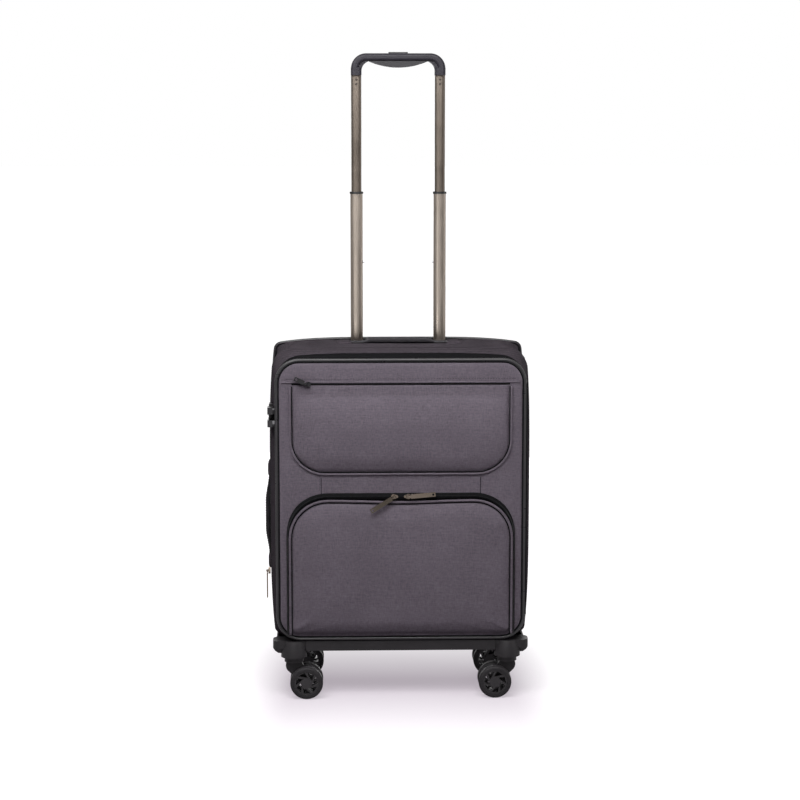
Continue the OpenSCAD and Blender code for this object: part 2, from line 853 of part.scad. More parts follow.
module grip_leg() {
    translate([0, 0, grip_z]) linear_extrude(leg_h) rounded_plate(leg_w, grip_d, grip_edge);
    translate([0, 0, grip_z - spigot_l]) linear_extrude(spigot_l + 1)
        polygon(oval(top_w - 2*tube_wall - 2*sew_gap, top_d - 2*tube_wall - 2*sew_gap));
}

button_floor = 1.5;
button_r = 4;
button_z = bar_top - bar_t + button_floor + button_travel + run_gap;

module button_block(gap, z, h) {
    translate([0, tube_y, z]) linear_extrude(h)
        rounded_plate(button_l + 2*gap, button_w + 2*gap, button_r + gap);
}

module grip_shell() {
    color(plastic) difference() {
        union() {
            translate([0, tube_y, 0]) grip_arch();
            for (s = [0, 1]) mirror([s, 0, 0]) translate([0, tube_y, 0]) grip_crook();
            both_tubes() grip_leg();
        }
        button_block(run_gap, bar_top - bar_t + button_floor, bar_t);
        both_tubes() rivets(sew_gap);
    }
}

module release_button() {
    color(black) button_block(0, button_z, bar_top + button_rise - button_z);
}

insert_edge = 4;

module grip_insert() {
    length = tube_gap - leg_w - 2*belly_side;
    depth = grip_d - 2*insert_edge;
    radius = (pow(length/2, 2) + pow(belly, 2))/(2*belly);
    color(black) translate([0, tube_y + depth/2, bar_top - bar_t - sew_gap]) rotate([90, 0, 0])
        linear_extrude(depth) difference() {
            intersection() {
                translate([0, radius - belly]) circle(radius, $fn = 96);
                translate([-length/2, -belly]) square([length, belly]);
            }
            for (s = [0, 1]) mirror([s, 0]) translate([(tube_gap - leg_w)/2 - crook_r, sew_gap - crook_r])
                difference() {
                    square(crook_r);
                    circle(crook_r - sew_gap, $fn = 96);
                }
        }
}

// Carry straps

anchor_edge = 4;
anchor_wall = 1.8;
strap_steps = 24;

// The strap lies flat in its anchors, and thickens and lifts between them.
function strap_swell(s, l) = pow(max(0, 1 - pow(2*s/(l - 2*anchor_l), 2)), 1.5);
function strap_low(s, l) = strap_lift*strap_swell(s, l);
function strap_high(s, l) = strap_low(s, l) + lerp(strap_end_t, strap_t, strap_swell(s, l));

module strap(l) {
    run = [for (k = [0:strap_steps]) l*(k/strap_steps - 0.5)];
    top = [for (s = run) [s, strap_high(s, l)]];
    low = [for (k = [strap_steps:-1:0]) [run[k], strap_low(run[k], l)]];
    translate([0, strap_w/2, 0]) rotate([90, 0, 0]) linear_extrude(strap_w) polygon(concat(top, low));
}

module anchors(l) {
    for (s = [0, 1]) mirror([s, 0, 0]) difference() {
        translate([l/2 - anchor_l + anchor_wall, -strap_w/2 - anchor_edge, -sew_gap])
            cube([anchor_l, strap_w + 2*anchor_edge, strap_end_t + anchor_wall]);
        translate([0, -strap_w/2 - sew_gap, -2*sew_gap])
            cube([l/2 + sew_gap, strap_w + 2*sew_gap, strap_end_t + 3*sew_gap]);
    }
}

side_strap_z = body_mid - side_strap_low;
// The anchors' rear corners meet the swollen walls first.
anchor_back = strap_y + strap_w/2 + anchor_edge;
top_seat = top_at(top_strap_l/2 - anchor_l, anchor_back) + run_gap;
side_seat = side_at(anchor_back, side_strap_z + side_strap_l/2 - anchor_l) + run_gap;

module at_top_strap() {
    translate([0, strap_y, top_seat]) children();
}
module at_side_strap() {
    on_left(-side_seat, strap_y, side_strap_z) rotate(90) children();
}

module top_carry_strap() {
    color(black) at_top_strap() strap(top_strap_l);
}
module side_carry_strap() {
    color(black) at_side_strap() strap(side_strap_l);
}
module strap_anchors() {
    color(plastic) {
        at_top_strap() anchors(top_strap_l);
        at_side_strap() anchors(side_strap_l);
    }
}

// Front section

lock_edge = 2;
lock_z = lid_top - lock_drop;
lock_y = strip_front + strip_depth - lock_w/2 - lock_edge;
lock_wall_x = side_at(seam_y, lock_z);
lock_out = lock_wall_x + lock_rise;
nose_w = strip_depth - lock_w - 2*lock_edge;
nose_h = 6;
nose_t = 3.5;

module lock_block(gap) {
    translate([-lock_out, lock_y - lock_w/2 - gap, lock_z - lock_l/2 - gap])
        cube([lock_depth + lock_rise, lock_w + 2*gap, lock_l + 2*gap]);
}

module front_gusset() {
    color(cloth) difference() {
        loft(strip_back, strip_outline(0), strip_mid, strip_front, front_outline(0), lid_mid);
        loft(strip_back + eps, strip_outline(wall), strip_mid,
            strip_front - eps, front_outline(wall), lid_mid);
        lock_block(run_gap);
    }
}

zip_inset = 0.5;

// The band reaches from the crowned edge of the gusset down to the flat edge of the lid.
module main_zip_case_side() {
    color(black) ring(strip_front, zip_half, lid_mid,
        front_outline(zip_inset), lid_outline(zip_inset + tape_t));
}

dial_x = lock_out + dial_proud - dial_r;
dial_y = lock_y + 2;
dial_shaft_r = 1.2;
lock_button_w = 7;
lock_button_l = 5;
lock_button_h = 3;
lock_button_low = 14.2;
lock_button_proud = 0.6;

module at_dial(k) {
    translate([-dial_x, dial_y, lock_z + k*dial_pitch]) children();
}

module lock_button_block(gap, out, h) {
    translate([-lock_out - out, lock_y - lock_button_w/2 - gap,
        lock_z - lock_button_low - lock_button_l/2 - gap])
        cube([out + h, lock_button_w + 2*gap, lock_button_l + 2*gap]);
}

module lock_body() {
    button_room = lock_button_h - lock_button_proud + lock_travel + run_gap;
    color(plastic) union() {
        difference() {
            union() {
                lock_block(0);
                translate([-lock_out, lock_y - lock_w/2 - nose_w, lock_z - nose_h/2])
                    cube([nose_t, nose_w + 1, nose_h]);
            }
            for (k = [-1:1]) at_dial(k)
                cylinder(r = dial_r + run_gap, h = dial_t + 2*run_gap, center = true);
            lock_button_block(run_gap, 1, button_room);
        }
        at_dial(0) cylinder(r = dial_shaft_r, h = 2*dial_pitch + dial_t + 2, center = true);
    }
}

module lock_button() {
    color(steel) lock_button_block(0, lock_button_proud, lock_button_h - lock_button_proud);
}

module lock_dial(k) {
    color(gunmetal) at_dial(k) difference() {
        cylinder(r = dial_r, h = dial_t, center = true);
        cylinder(r = dial_shaft_r + bore_gap, h = 2*dial_t, center = true);
    }
}

// Lid

module lid_panel() {
    color(cloth) sheet(lid_back, lid_t, lid_mid) rounded_plate(lid_panel_w, lid_panel_h, lid_panel_r);
}

piping_fn = 24;

module piping_bend(r, bend) {
    rotate_extrude(angle = 90) translate([bend, 0]) circle(r, $fn = piping_fn);
}
module piping_run(r, l) {
    cylinder(r = r, h = l, center = true, $fn = piping_fn);
}

module lid_piping() {
    w = lid_w/2 - piping_r;
    h = lid_h/2 - piping_r;
    bend = front_r - piping_r;
    color(black) on_front(0, lid_front + piping_r, lid_mid) union() {
        for (c = [0:3]) translate([corner_sign(c).x*(w - bend), corner_sign(c).y*(h - bend), 0])
            rotate(90*c) piping_bend(piping_r, bend);
        for (s = [-1, 1]) {
            translate([s*w, 0, 0]) rotate([90, 0, 0]) piping_run(piping_r, 2*(h - bend));
            translate([0, s*h, 0]) rotate([0, 90, 0]) piping_run(piping_r, 2*(w - bend));
        }
    }
}

lid_tape_w = lid_edge + 1;

module main_zip_lid_side() {
    color(black) ring(lid_back + zip_half, zip_half, lid_mid,
        lid_outline(zip_inset), lid_outline(zip_inset + lid_tape_w));
}

module lid_lining() {
    inset = zip_inset + lid_tape_w + sew_gap;
    color(dark_cloth) sheet(lid_back + lining_t, lining_t, lid_mid) polygon(lid_outline(inset));
}

hinge_x = lid_w/2 + sew_gap + hinge_r;

module lid_hinge_cord() {
    color(black) translate([hinge_x, lid_back, lid_mid])
        cylinder(r = hinge_r, h = lid_h - 2*front_r, center = true);
}

// Pockets

hull_fn = 32;
pocket_edge = 2*pocket_piping_r + sew_gap;
upper_zip_z = lid_top - upper_zip_drop;
upper_top = upper_zip_z - slider_w/2 - run_gap;
upper_w = lid_w - 2*upper_side;
lower_z = lid_z + lower_rise;
lower_w = lid_w - 2*lower_side;
lower_back = lid_front - run_gap;
lower_t = pocket_t - run_gap;

// A pad whose front edge is drawn in, from y forwards
module pad(y, t, z) {
    hull() {
        on_front(0, y, z) linear_extrude(t - pillow) children(0);
        on_front(0, y, z) linear_extrude(t) children(1);
    }
}

module hanging_plate(w, h, r) {
    mirror([0, 1]) arch_plate(w, h, r, $fn = hull_fn);
}

// Piping up one side, round the two corners and down the other, open at the end y = 0
module arch_piping(w, h, r, pr) {
    for (s = [-1, 1]) {
        translate([s*(w/2 - pr), (h - r)/2, 0]) rotate([90, 0, 0]) piping_run(pr, h - r);
        translate([s*(w/2 - r), h - r, 0]) rotate(s > 0 ? 0 : 90) piping_bend(pr, r - pr);
    }
    translate([0, h - pr, 0]) rotate([0, 90, 0]) piping_run(pr, w - 2*r);
}

module upper_pocket() {
    w = upper_w - 2*pocket_edge;
    h = upper_h - pocket_edge;
    r = upper_r - pocket_edge;
    color(cloth) {
        pad(lid_front, pocket_t, upper_top) {
            hanging_plate(w, h, r);
            translate([0, -pillow]) hanging_plate(w - 2*pillow, h - 2*pillow, r - pillow);
        }
        on_front(0, lid_front - pocket_piping_r - sew_gap, upper_top) mirror([0, 1, 0])
            arch_piping(upper_w, upper_h, upper_r, pocket_piping_r);
    }
}

upper_zip_end = 6;
upper_zip_l = lid_panel_w - 2*upper_zip_end;
upper_zip_w = 5;
upper_zip_t = 1.8;

module upper_pocket_zip() {
    color(black) sheet(lid_front, upper_zip_t, upper_zip_z) square([upper_zip_l, upper_zip_w], center = true);
}

module lower_pocket_zip() {
    inner = lower_w + 2*run_gap;
    color(black) sheet(lid_front, pocket_band_t, lower_z) difference() {
        arch_plate(inner + 2*pocket_band, lower_h + run_gap + pocket_band, lower_r + run_gap + pocket_band);
        translate([0, -1]) arch_plate(inner, lower_h + run_gap + 1, lower_r + run_gap);
    }
}

// The pocket tips forwards on a cord sewn into its lower hem.
hem_r = 1.2;

module lower_pocket_panel() {
    w = lower_w - 2*pocket_edge;
    h = lower_h - pocket_edge;
    r = lower_r - pocket_edge;
    inset = pillow + pocket_wall;
    color(cloth) {
        difference() {
            pad(lower_back, lower_t, lower_z) {
                arch_plate(w, h, r, $fn = hull_fn);
                arch_plate(w - 2*pillow, h - pillow, r - pillow, $fn = hull_fn);
            }
            on_front(0, lower_back + 1, lower_z + pocket_wall) linear_extrude(lower_t - pocket_wall + 1)
                arch_plate(w - 2*inset, h - inset - pocket_wall, r - inset);
            on_front(0, lower_back + 1, lower_z) linear_extrude(hem_r + 1)
                square([w + 1, 2*hem_r], center = true);
        }
        on_front(0, lower_back - hem_r, lower_z + hem_r) rotate([0, 90, 0]) piping_run(hem_r, w);
        on_front(0, lower_back - pocket_band_t - pocket_piping_r, lower_z)
            arch_piping(lower_w, lower_h, lower_r, pocket_piping_r);
    }
}

// Zip sliders. Local frame: x along the pull tab, z out of the zip.

ear_t = 1.2;
slider_nose_r = 2;
eye_w = pull_w/2 - 1;
pin_lift = slider_t + pull_eye_r + sew_gap;

module slider_body() {
    hull() {
        translate([slider_nose_r - slider_l/2, 0, 0])
            cylinder(r = slider_nose_r, h = slider_t, $fn = hull_fn);
        translate([(slider_l - slider_w)/2, 0, 0]) cylinder(r = slider_w/2, h = slider_t, $fn = hull_fn);
    }
}

// Two ears with a pin across them, for the pull tab's eye
module slider_bail() {
    for (s = [-1, 1]) translate([0, s*(eye_w/2 + run_gap + ear_t/2), 0]) rotate([90, 0, 0])
        linear_extrude(ear_t, center = true) union() {
            translate([-pull_eye_r, slider_t - eps]) square([2*pull_eye_r, pin_lift - slider_t]);
            translate([0, pin_lift]) circle(pull_eye_r);
        }
    translate([0, 0, pin_lift]) rotate([90, 0, 0])
        cylinder(r = pull_pin_r, h = eye_w + 2*run_gap + 2*ear_t, center = true);
}

module zip_pull(l) {
    neck = 3*pull_eye_r;
    difference() {
        union() {
            rotate([90, 0, 0]) cylinder(r = pull_eye_r, h = eye_w, center = true);
            translate([0, -eye_w/2, -pull_t/2]) cube([neck, eye_w, pull_t]);
            translate([neck - eps, -pull_w/2, -pull_t/2]) cube([l - neck, pull_w, pull_t]);
        }
        rotate([90, 0, 0]) cylinder(r = pull_pin_r + bore_gap, h = 2*pull_w, center = true);
        translate([l - pull_w/2, 0, -pull_t]) cylinder(r = pull_w/4, h = 2*pull_t);
    }
}

// Places of the sliders, and the directions of their pull tabs in the face
lower_slide_z = lower_z + lower_h + run_gap + pocket_band/2;
lower_slide_y = lid_front - pocket_band_t - run_gap;
lower_slide_x = 10;
left_turn = 210;
left_tilt = 12;
right_turn = 5;
upper_slide_end = 40;
upper_slide_x = upper_slide_end - upper_zip_l/2;
upper_slide_y = lid_front - upper_zip_t - run_gap;
upper_turn = 155;

module at_lower_slider(s) {
    on_front(s*lower_slide_x, lower_slide_y, lower_slide_z) children();
}

module lower_slider(s, turn) {
    color(gunmetal) at_lower_slider(s) {
        rotate(s > 0 ? 0 : 180) slider_body();
        rotate(turn) slider_bail();
    }
}

module lower_pull(s, turn, tilt) {
    color(gunmetal) at_lower_slider(s) translate([0, 0, pin_lift])
        rotate(turn) rotate([0, -tilt, 0]) zip_pull(pull_l);
}

module at_upper_slider() {
    on_front(upper_slide_x, upper_slide_y, upper_zip_z) children();
}
module upper_slider() {
    color(black) at_upper_slider() {
        slider_body();
        rotate(upper_turn) slider_bail();
    }
}
module upper_pull() {
    color(black) at_upper_slider() translate([0, 0, pin_lift]) rotate(upper_turn) zip_pull(short_pull_l);
}

main_slide_y = strip_front - zip_half;
main_slide_x = lid_w/2 + run_gap;
main_slide_gap = 10;
tip_h = 11;

// A slider of the main zip, with its pull tip lying beside the lock's nose
module main_slider(s) {
    reach = lock_y - lock_w/2 - main_slide_y - run_gap;
    lift = max(lock_wall_x + run_gap - main_slide_x - slider_t, 0);
    color(gunmetal) on_left(-main_slide_x, main_slide_y, lock_z + s*main_slide_gap) {
        rotate(90*s) slider_body();
        translate([-reach, -tip_h/2, slider_t - eps]) cube([reach + slider_w/4, tip_h, lift + pull_t]);
    }
}

slide_gap = 0.3;
expander_x = side_at(seam_y, body_mid) + slide_gap;

module at_expansion_slider() {
    on_left(-expander_x, seam_y - expander_half, body_z + expander_rise) rotate(-90) children();
}
module expansion_slider() {
    color(gunmetal) at_expansion_slider() {
        slider_body();
        slider_bail();
    }
}
module expansion_pull() {
    color(gunmetal) at_expansion_slider() translate([0, 0, pin_lift]) zip_pull(pull_l);
}

rear_panel();
body_gusset();
body_welt();
lining_panel();
frame_hoop();
expansion_zip();
expansion_gusset();
base_tray();
wheel_housings();
swivel_pins();
housing_screws();
outer_tubes();
tube_foot();
handle_bezel();
top_carry_strap();
side_carry_strap();
strap_anchors();
front_gusset();
main_zip_case_side();
lock_body();
lock_dial(-1);  // lock_dial_1
lock_dial(0);  // lock_dial_2
lock_dial(1);  // lock_dial_3
lock_button();
lid_panel();
lid_piping();
main_zip_lid_side();
lid_lining();
lid_hinge_cord();
upper_pocket();
upper_pocket_zip();
lower_pocket_zip();
lower_pocket_panel();
lower_slider(-1, left_turn);  // lower_slider_left
lower_pull(-1, left_turn, left_tilt);  // lower_pull_left
lower_slider(1, right_turn);  // lower_slider_right
lower_pull(1, right_turn, 0);  // lower_pull_right
upper_slider();
upper_pull();
main_slider(1);  // main_slider_upper
main_slider(-1);  // main_slider_lower
expansion_slider();
expansion_pull();
mid_tubes();
mid_collars();
spring_pin(-1);  // spring_pin_left
spring_pin(1);  // spring_pin_right
top_tubes();
grip_shell();
grip_insert();
grip_rivets();
release_button();
fork(0);  // fork_front_left
fork(1);  // fork_front_right
fork(2);  // fork_rear_left
fork(3);  // fork_rear_right
wheels(0);  // wheels_front_left
wheels(1);  // wheels_front_right
wheels(2);  // wheels_rear_left
wheels(3);  // wheels_rear_right
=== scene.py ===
import json
import math

import bmesh
import bpy
import numpy as np
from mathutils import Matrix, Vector, noise


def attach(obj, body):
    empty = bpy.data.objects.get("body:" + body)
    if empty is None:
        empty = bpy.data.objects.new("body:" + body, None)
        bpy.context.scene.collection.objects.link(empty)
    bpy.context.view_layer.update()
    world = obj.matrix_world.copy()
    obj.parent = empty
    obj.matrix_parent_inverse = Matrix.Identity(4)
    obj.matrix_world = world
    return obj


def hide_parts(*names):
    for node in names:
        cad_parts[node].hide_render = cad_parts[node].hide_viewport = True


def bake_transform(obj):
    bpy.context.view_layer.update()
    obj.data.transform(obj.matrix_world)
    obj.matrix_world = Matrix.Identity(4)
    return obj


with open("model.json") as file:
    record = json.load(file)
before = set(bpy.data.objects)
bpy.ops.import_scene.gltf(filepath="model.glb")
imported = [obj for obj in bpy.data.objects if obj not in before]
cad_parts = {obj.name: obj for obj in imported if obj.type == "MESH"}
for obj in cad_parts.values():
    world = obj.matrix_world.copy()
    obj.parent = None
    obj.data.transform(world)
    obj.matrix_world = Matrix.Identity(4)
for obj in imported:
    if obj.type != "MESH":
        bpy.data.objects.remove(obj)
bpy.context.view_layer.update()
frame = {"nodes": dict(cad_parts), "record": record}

MM = 0.001
TAU = 2 * math.pi

# Sizes in millimetres, most of them taken from the solids
CASE_W, CASE_H, CASE_MID = 400.0, 458.0, 321.0
REAR_H, REAR_MID = 454.5, 319.25
BACK_Y, BACK_IN, SEAM_Y = 101.0, 96.0, -19.0
STRIP_BACK, STRIP_FRONT, STRIP_H, STRIP_MID = -23.2, -63.0, 457.6, 321.2
LID_W, LID_H, LID_MID = 393.0, 448.2, 317.9
LID_BACK, LID_FRONT = -75.0, -80.0
REAR_R, SEAM_R, FOOT_R, FRONT_R = 8.0, 30.0, 10.0, 38.0
REAR_SWELL, SEAM_SWELL = 7.0, 6.5
REAR_CROWN, SEAM_CROWN, FRONT_CROWN = 8.5, 4.5, 8.0
ZIP_HALF, EXPANDER_HALF = 5.8, 3.8
PIPING_R = 2.5
UPPER_W, UPPER_H, UPPER_Z, UPPER_R = 349.0, 140.0, 358.6, 56.0
LOWER_W, LOWER_H, LOWER_Z, LOWER_R = 352.0, 216.0, 105.0, 62.0
POCKET_PIPING_R, POCKET_EDGE, MOUTH_SAG = 1.9, 3.9, 2.6
ROLL_REACH = 16.0
UPPER_ZIP_Z, UPPER_ZIP_L = 503.0, 370.8
TUBE_Y = 78.0
BEZEL_W, BEZEL_D, BEZEL_TOP = 178.1, 29.7, 553.0
STRAP_Y, STRAP_W, STRAP_LIFT, STRAP_END_T, ANCHOR_L = 27.0, 28.0, 5.5, 2.6, 24.0
TOP_STRAP_L, TOP_SEAT = 196.0, 555.05
SIDE_STRAP_L, SIDE_SEAT, SIDE_STRAP_Z = 170.0, 207.18, 278.5
LINING_BACK, LINING_Z, LINING_H = 66.65, 95.1, 443.8
AXLE_X, AXLE_Z, TYRE_FROM = 149.3, 26.0, 19.6


# Materials

def node(tree, kind, inputs=None, **props):
    n = tree.nodes.new(kind)
    for key, value in props.items():
        setattr(n, key, value)
    for key, value in (inputs or {}).items():
        if isinstance(value, bpy.types.NodeSocket):
            tree.links.new(value, n.inputs[key])
        else:
            n.inputs[key].default_value = value
    return n


def math_node(tree, operation, a, b=0.0):
    return node(tree, "ShaderNodeMath", {0: a, 1: b}, operation=operation).outputs[0]


def noise_node(tree, coords, scale, stretch=(1, 1, 1), detail=2.0):
    spread = node(tree, "ShaderNodeVectorMath", {0: coords, 1: stretch}, operation="MULTIPLY")
    return node(tree, "ShaderNodeTexNoise", {"Vector": spread.outputs[0], "Scale": scale, "Detail": detail},
                noise_dimensions="3D").outputs["Fac"]


def ranged(tree, value, low, high, to_low, to_high):
    return node(tree, "ShaderNodeMapRange", {0: value, 1: low, 2: high, 3: to_low, 4: to_high}).outputs[0]


def tinted(tree, color, factor):
    """The colour times a factor that varies over the surface."""
    return node(tree, "ShaderNodeVectorMath", {0: color, 1: factor}, operation="MULTIPLY").outputs[0]


def base_material(name, rough, **sockets):
    m = bpy.data.materials.new(name)
    m.use_nodes = True
    tree = m.node_tree
    shader = tree.nodes["Principled BSDF"]
    shader.inputs["Roughness"].default_value = rough
    for key, value in sockets.items():
        shader.inputs[key.replace("_", " ")].default_value = value
    coords = tree.nodes.new("ShaderNodeTexCoord").outputs["Object"]
    return m, tree, shader, coords


def add_bump(tree, shader, height, distance):
    bump = node(tree, "ShaderNodeBump", {"Height": height, "Distance": distance})
    tree.links.new(bump.outputs[0], shader.inputs["Normal"])


# A cloth's waves along an axis fade out where its wall faces that way.
FLAT_ON = (0.6, 0.8)
SLUB_ACROSS, SLUB_ALONG = (150, 300, 1300), (1300, 300, 150)
ROW_YARNS = 1.7


def woven(name, color, yarn=1.3, melange=0.22, depth=0.22, sheen=0.02, rough=0.9):
    """Woven cloth: crossed yarns, with lighter and darker lengths of yarn both ways."""
    m, tree, shader, coords = base_material(name, rough, Sheen_Weight=sheen, Sheen_Roughness=0.5,
                                            Specular_IOR_Level=0.0)
    xyz = node(tree, "ShaderNodeSeparateXYZ", {0: coords}).outputs
    normal = tree.nodes.new("ShaderNodeTexCoord").outputs["Normal"]
    waves = []
    for axis, part in zip(xyz, node(tree, "ShaderNodeSeparateXYZ", {0: normal}).outputs):
        wave = math_node(tree, "SINE", math_node(tree, "MULTIPLY", axis, TAU / (yarn * MM)))
        flat = ranged(tree, math_node(tree, "ABSOLUTE", part), *FLAT_ON, 1.0, 0.0)
        waves.append(math_node(tree, "MULTIPLY", wave, flat))
    weave = math_node(tree, "ADD", math_node(tree, "ADD", waves[0], waves[1]), waves[2])
    across = noise_node(tree, coords, 1.0, SLUB_ACROSS)
    along = noise_node(tree, coords, 1.0, SLUB_ALONG)
    slub = math_node(tree, "ADD", across, along)
    cloud = noise_node(tree, coords, 14.0)
    shade = math_node(tree, "MULTIPLY", ranged(tree, slub, 0.7, 1.3, 1 - melange, 1 + melange),
                      ranged(tree, cloud, 0.3, 0.7, 0.95, 1.05))
    rows = math_node(tree, "SINE", math_node(tree, "MULTIPLY", xyz[2], TAU / (ROW_YARNS * yarn * MM)))
    dark = math_node(tree, "MULTIPLY", ranged(tree, weave, -3.0, 3.0, 0.84, 1.16),
                     ranged(tree, rows, -1.0, 1.0, 0.9, 1.1))
    tree.links.new(tinted(tree, color, math_node(tree, "MULTIPLY", shade, dark)), shader.inputs["Base Color"])
    height = math_node(tree, "ADD", weave, math_node(tree, "MULTIPLY", slub, 2.0))
    add_bump(tree, shader, height, depth * MM)
    return m


def ribbed(name, color, rib, depth):
    """Tape or thread: close ribs with fine threads across them."""
    m, tree, shader, coords = base_material(name, 0.85, Specular_IOR_Level=0.04)
    xyz = node(tree, "ShaderNodeSeparateXYZ", {0: coords}).outputs
    total = math_node(tree, "ADD", math_node(tree, "ADD", xyz[0], xyz[1]), xyz[2])
    ribs = math_node(tree, "SINE", math_node(tree, "MULTIPLY", total, TAU / (rib * MM)))
    fuzz = noise_node(tree, coords, 900.0)
    mixed = math_node(tree, "ADD", ribs, math_node(tree, "MULTIPLY", fuzz, 2.0))
    shade = ranged(tree, mixed, -1, 3, 0.65, 1.35)
    tree.links.new(tinted(tree, color, shade), shader.inputs["Base Color"])
    add_bump(tree, shader, math_node(tree, "ADD", ribs, fuzz), depth * MM)
    return m


def moulded(name, color, rough=0.5, grain=1400.0, depth=0.05, spread=0.12, **sockets):
    """Moulded plastic or rubber with a fine grain, handled patches and faint scuffs."""
    m, tree, shader, coords = base_material(name, rough, **sockets)
    fine = noise_node(tree, coords, grain)
    patch = noise_node(tree, coords, 28.0, detail=4.0)
    scuff = noise_node(tree, coords, 60.0, (1, 1, 6), detail=5.0)
    tree.links.new(tinted(tree, color, ranged(tree, patch, 0.3, 0.7, 1 - spread, 1 + spread)),
                   shader.inputs["Base Color"])
    tree.links.new(ranged(tree, scuff, 0.3, 0.75, rough - 0.08, rough + 0.12), shader.inputs["Roughness"])
    add_bump(tree, shader, fine, depth * MM)
    return m


def metal(name, color, rough=0.35, streak=(900, 900, 8), depth=0.02, spread=0.1):
    """Drawn or plated metal with fine streaks along it."""
    m, tree, shader, coords = base_material(name, rough, Metallic=1.0)
    streaks = noise_node(tree, coords, 1.0, streak, detail=3.0)
    patch = noise_node(tree, coords, 22.0, detail=3.0)
    tree.links.new(tinted(tree, color, ranged(tree, streaks, 0.25, 0.75, 1 - spread, 1 + spread)),
                   shader.inputs["Base Color"])
    tree.links.new(ranged(tree, patch, 0.3, 0.7, rough - 0.06, rough + 0.08), shader.inputs["Roughness"])
    add_bump(tree, shader, streaks, depth * MM)
    return m


CLOTH = woven("case_cloth", (0.150, 0.128, 0.155))
# The case's cloth at under half its brightness: painted shade for the gussets round the top and sides and the
# pieces sewn on them.
GUSSET_CLOTH_PAINTED_SHADE = woven("gusset_cloth_painted_shade", (0.060, 0.050, 0.060))
LINING = woven("lining_cloth", (0.05, 0.045, 0.05), yarn=0.9, melange=0.12, depth=0.1, sheen=0.1, rough=0.7)
TAPE = ribbed("zip_tape", (0.009, 0.009, 0.010), rib=0.9, depth=0.12)
STRAP = woven("strap_cloth", (0.036, 0.033, 0.038), yarn=1.1, melange=0.2, sheen=0.1)
THREAD = ribbed("thread", (0.045, 0.042, 0.048), rib=0.6, depth=0.08)
PIPING = moulded("piping", (0.016, 0.015, 0.017), rough=0.34, grain=500.0, depth=0.06, Specular_IOR_Level=0.5)
COIL = moulded("zip_coil", (0.008, 0.008, 0.009), rough=0.45, depth=0.02, Specular_IOR_Level=0.25)
BASE = moulded("base_plastic", (0.020, 0.018, 0.020), rough=0.5, Specular_IOR_Level=0.25)
GRIP = moulded("grip_plastic", (0.017, 0.015, 0.021), rough=0.45, Specular_IOR_Level=0.25)
SOFT_GRIP = moulded("grip_soft", (0.009, 0.008, 0.011), rough=0.4, Specular_IOR_Level=0.4)
GLOSS = moulded("gloss_black", (0.015, 0.015, 0.016), rough=0.25)
MATT = moulded("matt_plastic", (0.018, 0.017, 0.018), rough=0.75, Specular_IOR_Level=0.15)
RUBBER = moulded("wheel_rubber", (0.021, 0.019, 0.021), rough=0.55, spread=0.18, Specular_IOR_Level=0.2)
HUB = moulded("wheel_hub", (0.024, 0.022, 0.024), rough=0.45, Specular_IOR_Level=0.35)
RIVET = metal("rivet", (0.045, 0.038, 0.034), rough=0.45, streak=(300, 300, 300))
BRONZE = metal("tube_bronze", (0.33, 0.285, 0.245), rough=0.32)
BRONZE_DARK = metal("tube_bronze_dark", (0.15, 0.126, 0.106), rough=0.34)
TUBE_PLAIN = metal("tube_plain", (0.55, 0.55, 0.56))
STEEL = metal("steel", (0.5, 0.5, 0.51), rough=0.3, streak=(400, 400, 400))
GUNMETAL = metal("zip_metal", (0.20, 0.165, 0.135), rough=0.24, streak=(300, 300, 300))
BLACK_METAL = metal("zip_black", (0.035, 0.034, 0.036), rough=0.35, streak=(300, 300, 300))

# Finishes of the solids that are shown, by slot
SLOT_MATERIAL = {
    "base_plastic": BASE, "grip_plastic": GRIP, "grip_soft": SOFT_GRIP, "gloss_black": GLOSS,
    "tube_bronze": BRONZE, "tube_plain": TUBE_PLAIN, "steel": STEEL, "zip_metal": GUNMETAL,
    "zip_black": BLACK_METAL, "wheel_rubber": RUBBER,
}


# Outlines, as arrays of [x, z] in millimetres about the middle of a wall

ARC, RUN_X, RUN_Z = 12, 44, 48
CROWN_POWER = 4


def outline(w, h, radii, side=0.0, top=0.0):
    """A rounded rectangle, from the right side anticlockwise; sides swell outwards and the top upwards."""
    r = radii if hasattr(radii, "__len__") else [radii] * 4
    r = [max(x, 0.3) for x in r]
    signs = [(1, 1), (-1, 1), (-1, -1), (1, -1)]
    arcs = [[(sx * (w / 2 - r[c]) + r[c] * math.cos(math.radians(90 * (c + k / ARC))),
              sz * (h / 2 - r[c]) + r[c] * math.sin(math.radians(90 * (c + k / ARC))))
             for k in range(ARC + 1)] for c, (sx, sz) in enumerate(signs)]
    points = []
    for c in range(4):
        a, b = arcs[c][-1], arcs[(c + 1) % 4][0]
        n = RUN_X if c % 2 == 0 else RUN_Z
        points += arcs[c]
        points += [(a[0] + (b[0] - a[0]) * k / n, a[1] + (b[1] - a[1]) * k / n) for k in range(1, n)]
    p = np.array(points)
    u, v = 2 * p[:, 0] / w, 2 * p[:, 1] / h
    p[:, 0] += side * u * (1 - np.abs(v) ** CROWN_POWER)
    p[:, 1] += np.where(v > 0, top * v * (1 - np.abs(u) ** CROWN_POWER), 0)
    return p


def rear_outline(inset):
    return outline(CASE_W - 2 * inset, REAR_H - 2 * inset, REAR_R - inset, REAR_SWELL, REAR_CROWN)


def seam_corners(inset):
    return [SEAM_R - inset, SEAM_R - inset, FOOT_R - inset, FOOT_R - inset]


def seam_outline(inset):
    return outline(CASE_W - 2 * inset, CASE_H - 2 * inset, seam_corners(inset), SEAM_SWELL, SEAM_CROWN)


def strip_outline(inset):
    return outline(CASE_W - 2 * inset, STRIP_H - 2 * inset, seam_corners(inset), SEAM_SWELL, SEAM_CROWN)


def front_outline(inset):
    return outline(LID_W - 2 * inset, LID_H - 2 * inset, FRONT_R - inset, 0, FRONT_CROWN)


def lid_outline(inset):
    return outline(LID_W - 2 * inset, LID_H - 2 * inset, max(FRONT_R - inset, 4))


